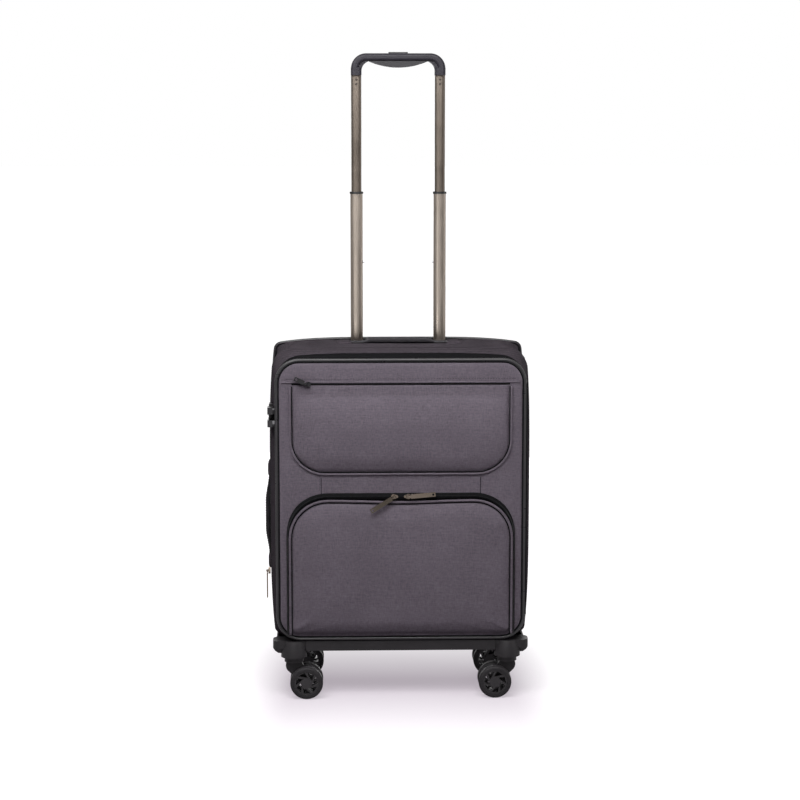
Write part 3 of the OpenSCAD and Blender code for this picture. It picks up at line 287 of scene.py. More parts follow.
def ring(points, y, mid):
    """An outline placed at depth y, with its middle at height mid."""
    return np.column_stack([points[:, 0], np.full(len(points), float(y)), points[:, 1] + mid])


def smooth(t):
    t = np.clip(t, 0, 1)
    return t * t * (3 - 2 * t)


# Pieces

def make(name, verts, faces, material, body, slot, replaces=(), shade=True):
    mesh = bpy.data.meshes.new(name)
    mesh.from_pydata([tuple(v) for v in np.asarray(verts, float) * MM], [], [tuple(f) for f in faces])
    mesh.validate()
    for m in material if isinstance(material, (list, tuple)) else [material]:
        mesh.materials.append(m)
    obj = bpy.data.objects.new(name, mesh)
    bpy.context.scene.collection.objects.link(obj)
    if shade:
        mesh.polygons.foreach_set("use_smooth", [True] * len(mesh.polygons))
    tidy_normals(obj)
    if body:
        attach(obj, body)
    if replaces:
        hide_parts(*replaces)
    return obj


def tidy_normals(obj):
    bm = bmesh.new()
    bm.from_mesh(obj.data)
    bmesh.ops.recalc_face_normals(bm, faces=bm.faces)
    bm.to_mesh(obj.data)
    bm.free()


def grid_faces(rows, cols, close_rows=False, close_cols=True):
    """Quads between rows of points; rows and columns may close on themselves."""
    last_row = rows if close_rows else rows - 1
    last_col = cols if close_cols else cols - 1
    at = lambda i, j: (i % rows) * cols + j % cols
    return [(at(i, j), at(i, j + 1), at(i + 1, j + 1), at(i + 1, j))
            for i in range(last_row) for j in range(last_col)]


def loft(rings, close_rows=False, caps=False):
    rows, cols = len(rings), len(rings[0])
    faces = grid_faces(rows, cols, close_rows)
    if caps:
        faces += [tuple(range(cols)), tuple(range((rows - 1) * cols, rows * cols))]
    return np.concatenate(rings), faces


def tangents(path, closed):
    p = np.asarray(path, float)
    if closed:
        t = np.roll(p, -1, 0) - np.roll(p, 1, 0)
    else:
        t = np.gradient(p, axis=0)
    return t / np.linalg.norm(t, axis=1)[:, None]


def resample(path, step, closed):
    """Points at an even spacing along a path."""
    p = np.asarray(path, float)
    if closed:
        p = np.vstack([p, p[:1]])
    length = np.concatenate([[0], np.cumsum(np.linalg.norm(np.diff(p, axis=0), axis=1))])
    n = max(2, int(round(length[-1] / step)))
    s = np.linspace(0, length[-1], n + 1)
    if closed:
        s = s[:-1]
    return np.column_stack([np.interp(s, length, p[:, k]) for k in range(3)])


def frames(path, out, closed):
    """Tangent, outward direction and sideways direction at each point of a path."""
    t = tangents(path, closed)
    o = np.broadcast_to(np.asarray(out, float), t.shape)
    o = o - t * np.sum(t * o, axis=1)[:, None]
    o = o / np.linalg.norm(o, axis=1)[:, None]
    return t, o, np.cross(t, o)


def tube_mesh(path, radius, out, closed, sides=14):
    path = np.asarray(path, float)
    t, o, s = frames(path, out, closed)
    angles = TAU * np.arange(sides) / sides
    rings = [path[i] + radius * (np.outer(np.cos(angles), o[i]) + np.outer(np.sin(angles), s[i]))
             for i in range(len(path))]
    return loft(rings, close_rows=closed, caps=not closed)


def bar_mesh(centers, t, o, s, along, across, high):
    """Small chamfered bars, one at each centre: stitches, teeth."""
    corner = np.array([[-1, 0, 0], [-0.6, -1, 0], [-0.6, 1, 0], [0.6, -1, 0], [0.6, 1, 0], [1, 0, 0],
                       [-0.5, 0, 1], [0.5, 0, 1]])
    faces = [(0, 1, 6), (0, 6, 2), (1, 3, 7, 6), (2, 6, 7, 4), (3, 5, 7), (4, 7, 5), (0, 2, 4, 5, 3, 1)]
    verts = [c + along / 2 * corner[:, :1] * a + across / 2 * corner[:, 1:2] * b + high * corner[:, 2:] * u
             for c, a, u, b in zip(centers, t, o, s)]
    return np.concatenate(verts), [tuple(8 * i + k for k in f) for i in range(len(centers)) for f in faces]


def facing(path, out):
    """Outward directions along a path: one direction, or away from the middle of the case at a height."""
    if np.ndim(out):
        return out
    away = np.array(path) - (0, 0, out)
    away[:, 1] = 0
    return away


def stitches(name, path, out, body, slot, closed=True, pitch=4.2, length=3.2, thick=0.55, high=0.4):
    p = resample(path, pitch, closed)
    t, o, s = frames(p, facing(p, out), closed)
    return make(name, *bar_mesh(p, t, o, s, length, thick, high), THREAD, body, slot, shade=False)


TOOTH_SHARE = 0.62


def teeth(name, path, out, body, closed=True, pitch=1.9, across=2.6, high=0.55):
    """A zip's coil, as one row of close bars across its path."""
    p = resample(path, pitch, closed)
    t, o, s = frames(p, facing(p, out), closed)
    bars = bar_mesh(p, s, o, t, across, pitch * TOOTH_SHARE, high)
    return make(name, *bars, COIL, body, "zip_tape", shade=False)


def crumple(verts, amount, size, seed=0.0):
    """Small soft waves, the same on each run."""
    offset = Vector((seed, seed * 1.7, -seed))
    return np.array([noise.noise(Vector(v) / size + offset) * amount for v in verts])


def inward(points, distance):
    """An outline's points moved inwards along its normals."""
    t = np.roll(points, -1, 0) - np.roll(points, 1, 0)
    t = t / np.linalg.norm(t, axis=1)[:, None]
    return points - distance * np.column_stack([t[:, 1], -t[:, 0]])


def joined(meshes):
    """Several meshes as one."""
    verts, faces, start = [], [], 0
    for v, f in meshes:
        verts.append(np.asarray(v))
        faces += [tuple(start + k for k in face) for face in f]
        start += len(v)
    return np.concatenate(verts), faces


# Rear section of the case

WALL = 2.6
GUSSET_ROWS = 30
EDGE_ROWS = (0, 0.008, 0.02)
PUFF, PUFF_REACH = 1.3, 0.18
EDGE_DIP, EDGE_REACH = 0.7, 0.02
PULL_IN, PULL_REACH = 2.6, 0.14
SLACK, SLACK_SIZE, SLACK_REACH, SIDE_BAND = 0.9, 75.0, 0.3, 12
CORNER_DRAW = 5.0
DRAW_BELOW_TOP, DRAW_RISE = 95, 75.0
DRAW_FROM_Y, DRAW_FRONT, DRAW_BACK = -10, 45.0, 13.0
DRAW_FROM_X, DRAW_SIDE = 120, 60.0
BEZEL_REACH, BEZEL_LIP = 24, 0.8


def on_bezel(x, y, reach):
    """1 over the handle's bezel, falling to 0 at a distance of reach from it."""
    dx = np.maximum(np.abs(x) - BEZEL_W / 2, 0)
    dy = np.maximum(np.abs(y - TUBE_Y) - BEZEL_D / 2, 0)
    return smooth(1 - np.hypot(dx, dy) / reach)


def drawn(v):
    """Points of the case's cloth, drawn in towards the upper corners between the back and the frame hoop."""
    high = smooth((v[:, 2] - CASE_MID - 0.5 * CASE_H + DRAW_BELOW_TOP) / DRAW_RISE)
    deep = smooth((v[:, 1] - DRAW_FROM_Y) / DRAW_FRONT) * smooth((BACK_IN - v[:, 1]) / DRAW_BACK)
    wide = smooth((np.abs(v[:, 0]) - DRAW_FROM_X) / DRAW_SIDE)
    out = v.copy()
    out[:, 0] -= np.sign(v[:, 0]) * CORNER_DRAW * high * deep * wide
    return out


def rear_ring(t, inset, puff):
    """A ring of the rear gusset, t from the back edge to the expansion zip."""
    q = 1 - (1 - t) ** 4
    flat = rear_outline(0) * (1 - q) + seam_outline(0) * q
    flat = inward(flat, inset - puff)
    r = ring(flat, (BACK_IN - 0.3) * (1 - t) + (SEAM_Y + 0.2) * t, REAR_MID * (1 - q) + CASE_MID * q)
    upper = r[:, 2] > CASE_MID + 0.4 * CASE_H
    dip = on_bezel(r[:, 0], r[:, 1], BEZEL_REACH) * upper
    level = np.minimum(r[:, 2], BEZEL_TOP - BEZEL_LIP - inset)
    r[:, 2] += (level - r[:, 2]) * dip
    return r


def under_bezel(v):
    inside = (np.abs(v[:, 0]) < BEZEL_W / 2 - 4) & (np.abs(v[:, 1] - TUBE_Y) < BEZEL_D / 2 - 3)
    return inside & (v[:, 2] > CASE_MID)


def without(faces, hole):
    """The faces that have no point in a hole."""
    return [f for f in faces if not any(hole[k] for k in f)]


def two_sided(obj, first_inner):
    """The cloth outside and the lining inside."""
    for poly in obj.data.polygons:
        if min(poly.vertices) >= first_inner:
            poly.material_index = 1


def crumpled(r, t):
    """A ring of the rear gusset with its slack."""
    wave = crumple(r, SLACK, SLACK_SIZE) * smooth(min(t, 1 - t) / SLACK_REACH)
    side = np.abs(r[:, 0]) > CASE_W / 2 - SIDE_BAND
    r[:, 0] += np.sign(r[:, 0]) * wave * side
    r[:, 2] += wave * ~side * (r[:, 2] > CASE_MID)
    return r


def rear_gusset():
    outer, inner = [], []
    for t in np.concatenate([EDGE_ROWS, np.linspace(0.04, 1, GUSSET_ROWS - len(EDGE_ROWS))]):
        puff = PUFF * smooth(min(t, 1 - t) / PUFF_REACH) - EDGE_DIP * smooth(t / EDGE_REACH)
        puff -= PULL_IN * smooth(1 - t / PULL_REACH) * smooth(t / EDGE_REACH)
        outer.append(crumpled(rear_ring(t, 0, puff), t))
        inner.append(rear_ring(t, WALL, puff))
    verts, faces = loft(outer + inner[::-1], close_rows=True)
    faces = without(faces, under_bezel(verts))
    obj = make("rear_gusset", drawn(verts), faces, [GUSSET_CLOTH_PAINTED_SHADE, LINING], "case", "case_cloth",
               ["body_gusset"])
    two_sided(obj, GUSSET_ROWS * len(outer[0]))


rear_gusset()


def pad_rings(shape, mid, back, profile):
    """Rings of a padded panel, from its back edge over its front: profile is a list of (inset, y)."""
    return [ring(shape(profile[0][0]), back, mid)] + [ring(shape(i), y, mid) for i, y in profile]


CHANNEL_IN, CHANNEL_OUT, CHANNEL_Z = 44.0, 90.0, (118, 528)
CHANNEL_DEEP, CHANNEL_HALF = 0.9, 3.0
BACK_EDGE, SWELL_ENDS = 5.4, 220
BACK_PIPING_R, BACK_SEAM_R = 2.6, 1.7
PATH_STEP = 4.0


def back_panel():
    profile = [(BACK_EDGE + i, BACK_Y - low) for i, low in ((0, 3.2), (2, 1.6), (6, 0.6))]
    profile += [(i, BACK_Y + 1.4 * smooth((i - 10) / 60.0)) for i in (15, 28, 45, 65, 90, 120, 150, 180, 192)]
    shape = lambda i: outline(CASE_W - 2 * i, REAR_H - 2 * i, max(REAR_R - i + 4, 2),
                              REAR_SWELL * (1 - i / SWELL_ENDS), REAR_CROWN * (1 - i / SWELL_ENDS))
    verts, faces = loft(pad_rings(shape, REAR_MID, BACK_IN + 0.4, profile), caps=True)
    outside = verts[:, 1] > BACK_Y - 1
    x = np.abs(verts[:, 0])
    channel = np.minimum(np.abs(x - CHANNEL_IN), np.abs(x - CHANNEL_OUT))
    sewn = CHANNEL_DEEP * np.exp(-(channel / CHANNEL_HALF) ** 2)
    verts[:, 1] += (crumple(verts, 0.5, 60.0, 3.0) - sewn) * outside
    return make("back_panel", verts, faces, CLOTH, "case", "case_cloth", ["rear_panel"])


back_panel()

back_edge = ring(rear_outline(0.6), BACK_IN + 2.0, REAR_MID)
make("back_piping", *tube_mesh(resample(back_edge, PATH_STEP, True), BACK_PIPING_R, (0, 1, 0), True), PIPING,
     "case", "piping", ["body_welt"])
# A dark tube in the groove between the back piping and the gusset: painted shade for that crevice.
back_groove = ring(rear_outline(2.4), BACK_IN - 2.6, REAR_MID)
make("back_groove_shade", *tube_mesh(resample(back_groove, PATH_STEP, True), BACK_SEAM_R, (0, 1, 0), True, 10), TAPE,
     "case", "zip_tape")
stitches("back_stitching", ring(rear_outline(10.5), BACK_Y - 0.2, REAR_MID), (0, 1, 0), "case", "case_cloth")
SIDES = ((-1, "left"), (1, "right"))
for side, word in SIDES:
    for x, place in ((CHANNEL_IN, "in"), (CHANNEL_OUT, "out")):
        line = [(side * x, BACK_Y + 0.6, z) for z in np.linspace(*CHANNEL_Z, 60)]
        stitches(f"channel_stitching_{word}_{place}", line, (0, 1, 0), "case", "case_cloth", closed=False)


# Zips round the case

TAPE_T, TAPE_INSET = 0.8, 0.6
FLANGE_INSET = 1.8
SPARE_BACK, SPARE_FRONT, SPARE_INSET, SPARE_T = -8, -26.4, 3.6, 0.5
SPARE_BELLY = (0, 0.3, 0.7, 1, 1.1, 1.1, 1.1, 1.1, 1, 0.7, 0.3, 0)


def tape(name, rings, body, replaces=()):
    """A tape lofted over rings, with its thickness inwards."""
    middle = rings[0].mean(0)
    inner = [r + TAPE_T * (middle - r) / np.linalg.norm((middle - r)[:, [0, 2]], axis=1)[:, None] * (1, 0, 1)
             for r in rings]
    verts, faces = loft(list(rings) + inner[::-1], close_rows=True)
    return make(name, verts, faces, TAPE, body, "zip_tape", replaces)


tape("expansion_tape_rear",
     [ring(seam_outline(TAPE_INSET), y, CASE_MID) for y in (SEAM_Y - 0.1, SEAM_Y - EXPANDER_HALF)],
     "case", ["expansion_zip"])
tape("expansion_tape_front",
     [ring(strip_outline(TAPE_INSET), y, STRIP_MID) for y in (STRIP_BACK, STRIP_BACK - EXPANDER_HALF)],
     "front_section")
path = ring(seam_outline(0.5), SEAM_Y - EXPANDER_HALF + 1.0, CASE_MID)
teeth("expansion_coil_rear", path, CASE_MID, "case", across=1.8)
path = ring(strip_outline(0.5), STRIP_BACK - 1.0, STRIP_MID)
teeth("expansion_coil_front", path, STRIP_MID, "front_section", across=1.8)


def spare_gusset():
    """Cloth folded behind the expansion zip, which follows both sides of it and is sewn to the front tape."""
    depth = np.linspace(SPARE_BACK, SPARE_FRONT, len(SPARE_BELLY))
    rings = [ring(strip_outline(SPARE_INSET + d), y, STRIP_MID) for y, d in zip(depth, SPARE_BELLY)]
    inner = []
    for r in rings[:-1]:
        flat = inward(r[:, [0, 2]] - (0, STRIP_MID), SPARE_T)
        inner.append(ring(flat, r[0, 1], STRIP_MID))
    rings.append(ring(strip_outline(FLANGE_INSET), SPARE_FRONT, STRIP_MID))
    inner += [ring(strip_outline(i), SPARE_FRONT - SPARE_T, STRIP_MID)
              for i in (SPARE_INSET + SPARE_T, FLANGE_INSET)]
    verts, faces = loft(rings + inner[::-1], close_rows=True)
    obj = make("spare_gusset", verts, faces, LINING, None, "lining_cloth", ["expansion_gusset"])
    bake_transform(obj)


spare_gusset()


LINING_T = 1.9


def inner_lining():
    """The sheet behind the packing space, drawn tight over the tubes, with a sewn border."""
    w, mid = CASE_W - 10, LINING_Z + LINING_H / 2
    front = LINING_BACK - LINING_T
    profile = [(1.0, LINING_BACK - 1.2), (3, front), (14, LINING_BACK - 1.5)]
    profile += [(i, front) for i in (40, 90, 190)]
    shape = lambda i: outline(w - 2 * i, LINING_H - 2 * i, max(FRONT_R - i, 3))
    verts, faces = loft(pad_rings(shape, mid, LINING_BACK - 0.2, profile), caps=True)
    obj = make("inner_lining", verts, faces, LINING, "case", "lining_cloth", ["lining_panel"])
    hem = stitches("lining_stitching", ring(shape(12), front, mid), (0, -1, 0), "case", "lining_cloth")


inner_lining()


# Carry straps and the patches sewn over their ends

STRAP_POINTS, STRAP_ROWS = 24, 57
STRAP_SQUARE, STRAP_ROUND = 0.4, 0.7
STITCH_IN = 3.2
PATCH_RISE = ((0.9, -2.6), (0.4, 0.2), (-0.6, 2.0), (-2.2, 3.2), (-4.5, 3.8), (-8, 4.0))


def on_top(s, w, h):
    return s, STRAP_Y + w, TOP_SEAT + h


def on_side(s, w, h):
    return -SIDE_SEAT - h, STRAP_Y + w, SIDE_STRAP_Z + s


def strap_at(s, flat, end):
    """Height of a strap's underside, its thickness and its half width: full to flat, thin from end on."""
    swell = float(smooth((end - abs(s)) / (end - flat)))
    low = 0.2 + 0.6 * swell
    return low, STRAP_END_T - 0.3 + (STRAP_LIFT - 0.6) * swell, STRAP_W / 2 - 2.4 + 1.4 * swell


def strap(name, node_name, length, flat, end, place, up):
    """A padded strap with a line of stitches along each edge."""
    a = TAU * np.arange(STRAP_POINTS) / STRAP_POINTS
    across = np.sign(np.cos(a)) * np.abs(np.cos(a)) ** STRAP_SQUARE
    high = np.sign(np.sin(a)) * np.abs(np.sin(a)) ** STRAP_ROUND
    run = np.linspace(-length / 2 + 0.5, length / 2 - 0.5, STRAP_ROWS)
    rings, left, right = [], [], []
    for s in run:
        low, thick, half = strap_at(s, flat, end)
        rings.append(np.array([place(s, half * x, low + thick / 2 * (1 + z)) for x, z in zip(across, high)]))
        if abs(s) < length / 2 - ANCHOR_L:
            left.append(place(s, -half + STITCH_IN, low + thick * 0.97))
            right.append(place(s, half - STITCH_IN, low + thick * 0.97))
    obj = make(name, *loft(rings, caps=True), STRAP, "case", "webbing", [node_name])
    for k, line in enumerate((left, right)):
        stitches(f"{name}_stitching_{k + 1}", line, up, "case", "webbing", closed=False)


def patch(middle, place):
    """Rings of a patch over a strap's end, and the line of its stitches."""
    reach, half = ANCHOR_L / 2, STRAP_W / 2 + 3.4
    rings = []
    for grow, h in PATCH_RISE:
        flat = outline(2 * (reach + grow), 2 * (half + grow), 5 + grow)[::2]
        rings.append(np.array([place(middle + x, z, h) for x, z in flat]))
    sewn = outline(2 * reach - 7, 2 * half - 7, 2)
    return loft(rings, caps=True), [place(middle + x, z, 3.3) for x, z in sewn]


def straps():
    patches = []
    rows = (("top_carry_strap", TOP_STRAP_L, 44, 60, on_top, (0, 0, 1)),
            ("side_carry_strap", SIDE_STRAP_L, 22, 66, on_side, (-1, 0, 0)))
    for name, length, flat, end, place, up in rows:
        strap(name.replace("carry_strap", "strap_pad"), name, length, flat, end, place, up)
        for k, side in enumerate((-1, 1)):
            mesh, line = patch(side * (length / 2 - ANCHOR_L / 2 + 1.8), place)
            patches.append(mesh)
            stitches(f"{name}_patch_stitching_{k + 1}", line, up, "case", "case_cloth", pitch=3.2, length=2.4)
    make("strap_patches", *joined(patches), GUSSET_CLOTH_PAINTED_SHADE, "case", "case_cloth", ["strap_anchors"])


straps()


# Front section

FRONT_ROWS, FRONT_EDGE_R = 12, 1.1
BAND_PUFF, BAND_REACH, BAND_DIP = 1.0, 0.3, 0.6
LOCK_LOW, LOCK_HIGH = 431.0, 467.0
LOCK_X, LOCK_FRONT, LOCK_BACK = -180, -48, -31.5
LOCK_NEAR, LOCK_TUCK, LOCK_HOLE = 3, 1.2, 4
FLAP_REAR = ((0.7, 0.4), (0.8, 0.5), (0.88, 0.6), (0.95, 0.6), (1, 0.6))
FLAP_FRONT = ((0.02, 1.1), (0.1, 0.8), (0.18, 0.6), (0.25, 0.5), (0.27, 0.3), (0.26, 0.15), (0.2, 0.1))
FLAP_UNDER = ((1, 0), (0.72, 0))


def front_ring(t, inset, puff):
    """A ring of the front gusset, t from the expansion zip to the main zip."""
    flat = inward(strip_outline(0) * (1 - t) + front_outline(0) * t, inset - puff)
    mid = STRIP_MID * (1 - t) + LID_MID * t
    return ring(flat, (STRIP_BACK - EXPANDER_HALF) * (1 - t) + (STRIP_FRONT + 1.2) * t, mid)


def band_puff(t):
    return BAND_PUFF * smooth(min(t, 1 - t) / BAND_REACH) - BAND_DIP


def beside_lock(v):
    return (v[:, 0] < LOCK_X) & (v[:, 1] > LOCK_FRONT) & (v[:, 1] < LOCK_BACK)


def in_lock(v):
    return beside_lock(v) & (v[:, 2] > LOCK_LOW + LOCK_HOLE) & (v[:, 2] < LOCK_HIGH - LOCK_HOLE)


def to_lock(v):
    """The cloth above and below the lock reaches a little way into its body."""
    for level, tuck in ((LOCK_LOW, LOCK_TUCK), (LOCK_HIGH, -LOCK_TUCK)):
        v[beside_lock(v) & (np.abs(v[:, 2] - level) < LOCK_NEAR), 2] = level + tuck
    return v


def front_band():
    outer, inner = [], []
    for t in np.linspace(0, 1, FRONT_ROWS):
        outer.append(front_ring(t, 0, band_puff(t)))
        inner.append(front_ring(t, WALL, band_puff(t)))
    verts, faces = loft(outer + inner[::-1], close_rows=True)
    verts = to_lock(verts)
    faces = without(faces, in_lock(verts))
    obj = make("front_band", verts, faces, [GUSSET_CLOTH_PAINTED_SHADE, LINING], "front_section", "case_cloth",
               ["front_gusset"])
    two_sided(obj, FRONT_ROWS * len(outer[0]))


front_band()


def expansion_flap():
    """The fold of cloth along the top that hides the expansion zip: level with the gussets beside it."""
    rows = [crumpled(rear_ring(t, 0, puff), t) for t, puff in FLAP_REAR]
    rows += [front_ring(t, 0, band_puff(t) + above) for t, above in FLAP_FRONT]
    rows += [rear_ring(t, 0, puff) for t, puff in FLAP_UNDER]
    start, end = 4, 2 * ARC + RUN_X - 4
    faces = grid_faces(len(rows), end - start, close_rows=True, close_cols=False)
    verts = drawn(np.concatenate([r[start:end] for r in rows]))
    make("expansion_flap", verts, faces, GUSSET_CLOTH_PAINTED_SHADE, "case", "case_cloth")


expansion_flap()
edge = ring(front_outline(0.9), STRIP_FRONT + 0.6, LID_MID)
make("front_edge_piping", *tube_mesh(resample(edge, PATH_STEP, True), FRONT_EDGE_R, (0, -1, 0), True, 10),
     GUSSET_CLOTH_PAINTED_SHADE, "front_section", "case_cloth")
tape("main_tape_case", [ring(front_outline(0.7 + 0.3 * k) * (1 - k) + lid_outline(0.9) * k,
                             STRIP_FRONT - k * (ZIP_HALF - 0.2), LID_MID) for k in (0, 0.35, 0.7, 1)],
     "front_section", ["main_zip_case_side"])
path = ring(lid_outline(0.5), STRIP_FRONT - ZIP_HALF + 1.2, LID_MID)
teeth("main_coil_case", path, LID_MID, "front_section", across=2.2)


# Lid

rows = ((LID_BACK + ZIP_HALF - 0.2, 0.9), (LID_BACK - 0.4, 0.9), (LID_BACK - 1.0, 2.2))
tape("main_tape_lid", [ring(lid_outline(i), y, LID_MID) for y, i in rows], "lid", ["main_zip_lid_side"])
path = ring(lid_outline(0.5), LID_BACK + ZIP_HALF - 1.2, LID_MID)
teeth("main_coil_lid", path, LID_MID, "lid", across=2.2)

edge = ring(lid_outline(PIPING_R), LID_FRONT + PIPING_R, LID_MID)
make("lid_edge_piping", *tube_mesh(resample(edge, PATH_STEP, True), PIPING_R, (0, -1, 0), True, 18), PIPING,
     "lid", "piping", ["lid_piping"])


HINGE_PATH = ((197.0, -62.5), (197.7, -65), (198.1, -68), (198.2, -70.5), (198.3, -73), (198.3, -75),
              (198.2, -77), (197.6, -78.4), (196.6, -79.0))
HINGE_T, HINGE_HALF = 0.7, 184


def hinge_strip():
    """The cloth that joins the lid to the front section down the right side."""
    rows = list(HINGE_PATH) + [(x - HINGE_T, y) for x, y in HINGE_PATH[::-1]]
    height = np.linspace(LID_MID - HINGE_HALF, LID_MID + HINGE_HALF, 70)
    rings = [np.array([(x, y, z) for x, y in rows]) for z in height]
    verts, faces = loft(rings, caps=True)
    obj = make("hinge_strip", verts, faces, TAPE, None, "zip_tape", ["lid_hinge_cord"])
    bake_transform(obj)


hinge_strip()


def lid_face():
    profile = [(i, LID_FRONT + back) for i, back in ((5.2, 4.0), (5.7, 2.4), (6.8, 1.1), (8.6, 0.2))]
    profile += [(i, LID_FRONT - 0.4 - 0.5 * smooth((i - 8) / 25.0))
                for i in (13, 20, 30, 45, 65, 90, 120, 150, 180)]
    verts, faces = loft(pad_rings(lid_outline, LID_MID, LID_BACK - 0.2, profile), caps=True)
    return make("lid_face", verts, faces, CLOTH, "lid", "case_cloth", ["lid_panel"])


lid_face()


LID_LINING_EDGE = 7.2


def lid_lining():
    profile = [(i, LID_BACK + back)
               for i, back in ((LID_LINING_EDGE, 0.6), (9, 1.4), (14, 1.8), (60, LINING_T), (180, LINING_T))]
    verts, faces = loft(pad_rings(lid_outline, LID_MID, LID_BACK + 0.1, profile), caps=True)
    obj = make("lid_inner_lining", verts, faces, LINING, "lid", "lining_cloth", ["lid_lining"])
    sewn = ring(lid_outline(18), LID_BACK + LINING_T, LID_MID)
    hem = stitches("lid_lining_stitching", sewn, (0, 1, 0), "lid", "lining_cloth")


lid_lining()


# Pockets

VOXEL, SWELL_CAP, PRESSURE, LAST_FRAME = 4.5, 1.2, 4.0, 20
PILLOW_ROWS = 20
SAG_HALF, SAG_FROM = 70.0, 0.7
POCKET_T = 1.8
POCKET_CORNER = 3
UPPER_PIN_Y, LOWER_PIN_Y, LOWER_EDGE_Y = -82.6, -85.0, -83.4
LOWER_PIPING_Y, LOWER_GROOVE_SHADE_Y = -86.6, -86.4


def settle(obj, pinned):
    """Swells a closed pad as cloth under pressure; points that are pinned stay where they are."""
    scene = bpy.context.scene
    remesh = obj.modifiers.new("voxels", "REMESH")
    remesh.mode = "VOXEL"
    remesh.voxel_size = VOXEL * MM
    graph = bpy.context.evaluated_depsgraph_get()
    mesh = bpy.data.meshes.new_from_object(obj.evaluated_get(graph))
    obj.modifiers.clear()
    materials = list(obj.data.materials)
    obj.data = mesh
    mesh.materials.clear()
    for m in materials:
        mesh.materials.append(m)
    rest = np.array([v.co for v in mesh.vertices])
    group = obj.vertex_groups.new(name="pinned")
    group.add([int(k) for k in np.flatnonzero(pinned(rest / MM))], 1.0, "REPLACE")
    cloth = obj.modifiers.new("cloth", "CLOTH")
    s = cloth.settings
    s.quality = 5
    s.mass = 0.3
    s.tension_stiffness = s.compression_stiffness = 15
    s.shear_stiffness = 5
    s.bending_stiffness = 0.5
    s.use_pressure = True
    s.uniform_pressure_force = PRESSURE
    s.effector_weights.gravity = 0
    s.vertex_group_mass = "pinned"
    cloth.point_cache.frame_start = 1
    cloth.point_cache.frame_end = LAST_FRAME
    for f in range(1, LAST_FRAME + 1):
        scene.frame_set(f)
    graph = bpy.context.evaluated_depsgraph_get()
    moved = np.array([v.co for v in obj.evaluated_get(graph).data.vertices])
    scene.frame_set(1)
    obj.modifiers.clear()
    obj.vertex_groups.clear()
    shift = moved - rest
    far = np.linalg.norm(shift, axis=1)
    shift *= np.minimum(1, SWELL_CAP * MM / np.maximum(far, 1e-9))[:, None]
    mesh.vertices.foreach_set("co", (rest + shift).astype(np.float32).ravel())
    mesh.polygons.foreach_set("use_smooth", [True] * len(mesh.polygons))
    mesh.update()
    finer = obj.modifiers.new("smooth", "SUBSURF")
    finer.levels = finer.render_levels = 1


def pillow(edge_y, roll, crown, reach, most):
    """Profile of a pocket's front: its edge rolls over, then it rises ever more slowly to its middle."""
    profile = []
    for k in range(PILLOW_ROWS + 1):
        inset = most * (k / PILLOW_ROWS) ** 2
        turn = min(inset / ROLL_REACH, 1)
        up = roll * math.sqrt(1 - (1 - turn) ** 2) + crown * (1 - (1 - inset / reach) ** 2)
        profile.append((inset, edge_y - up))
    return profile


def hang(points):
    """The lower pocket's upper edge, which hangs a little between its corners."""
    share = smooth((points[:, 2] - LOWER_Z - SAG_FROM * LOWER_H) / ((1 - SAG_FROM) * LOWER_H))
    points[:, 2] -= MOUTH_SAG * np.exp(-(points[:, 0] / SAG_HALF) ** 2) * share
    return points


def open_back(obj, depth):
    """Takes away the back of a pocket, and gives the rest a thickness with the lining inside."""
    bm = bmesh.new()
    bm.from_mesh(obj.data)
    back = [f for f in bm.faces if f.calc_center_median().y > depth * MM]
    bmesh.ops.delete(bm, geom=back, context="FACES")
    bm.to_mesh(obj.data)
    bm.free()
    shell = obj.modifiers.new("shell", "SOLIDIFY")
    obj.modifiers.move(len(obj.modifiers) - 1, 0)
    shell.thickness = POCKET_T * MM
    shell.offset = -1
    shell.material_offset = 1


def upper_pocket():
    """The upper pocket, flat along its zip and full below it."""
    w, h, r = UPPER_W - 2 * POCKET_EDGE, UPPER_ZIP_Z - 1.6 - UPPER_Z - POCKET_EDGE, UPPER_R - POCKET_EDGE
    c = POCKET_CORNER
    shape = lambda i: outline(w - 2 * i, h - 2 * i, [c, c, max(r - i, c), max(r - i, c)])
    mid = UPPER_Z + POCKET_EDGE + h / 2
    profile = pillow(LID_FRONT - 0.4, 6.0, 5.8, 68.0, 62)
    verts, faces = loft(pad_rings(shape, mid, LID_FRONT - 0.3, profile), caps=True)
    rise = 0.3 + 0.7 * smooth((UPPER_Z + UPPER_H - verts[:, 2]) / 60.0)
    verts[:, 1] = LID_FRONT - 0.3 + (verts[:, 1] - LID_FRONT + 0.3) * rise
    obj = make("upper_pocket_pad", verts, faces, CLOTH, "lid", "case_cloth", ["upper_pocket"])
    settle(obj, lambda p: p[:, 1] > UPPER_PIN_Y)


upper_pocket()


def arch(w, h, r, z, y, piping):
    """Path of the piping round a pocket: up one side, over the corners and down the other."""
    a = [math.radians(90 * k / ARC) for k in range(ARC + 1)]
    x, top = w / 2 - piping, h - piping
    bend = r - piping
    right = [(x, 0)] + [(x - bend + bend * math.cos(k), top - bend + bend * math.sin(k)) for k in a]
    points = right + [(-px, pz) for px, pz in right[::-1]]
    return resample([(px, y, z + pz) for px, pz in points], 3.5, False)


def under_arch(y, inset):
    """Path round the upper pocket: down one side, round the bottom and up the other."""
    path = arch(UPPER_W, UPPER_H, UPPER_R, 0, y, inset)
    path[:, 2] = UPPER_Z + UPPER_H - path[:, 2]
    return path


GROOVE_SHADE_R, SEWN_Y = 1.05, LID_FRONT - 0.95
BAND_SEAM_X, BAND_SEAM_Z, BAND_SEAM_R = 124.7, (328.0, 355.0), 0.5


def groove_shade(name, path, body, closed=False):
    """A dark tube in the groove beside a piping: painted shade for that crevice."""
    make(name, *tube_mesh(path, GROOVE_SHADE_R, (0, -1, 0), closed, 10), TAPE, body, "zip_tape")


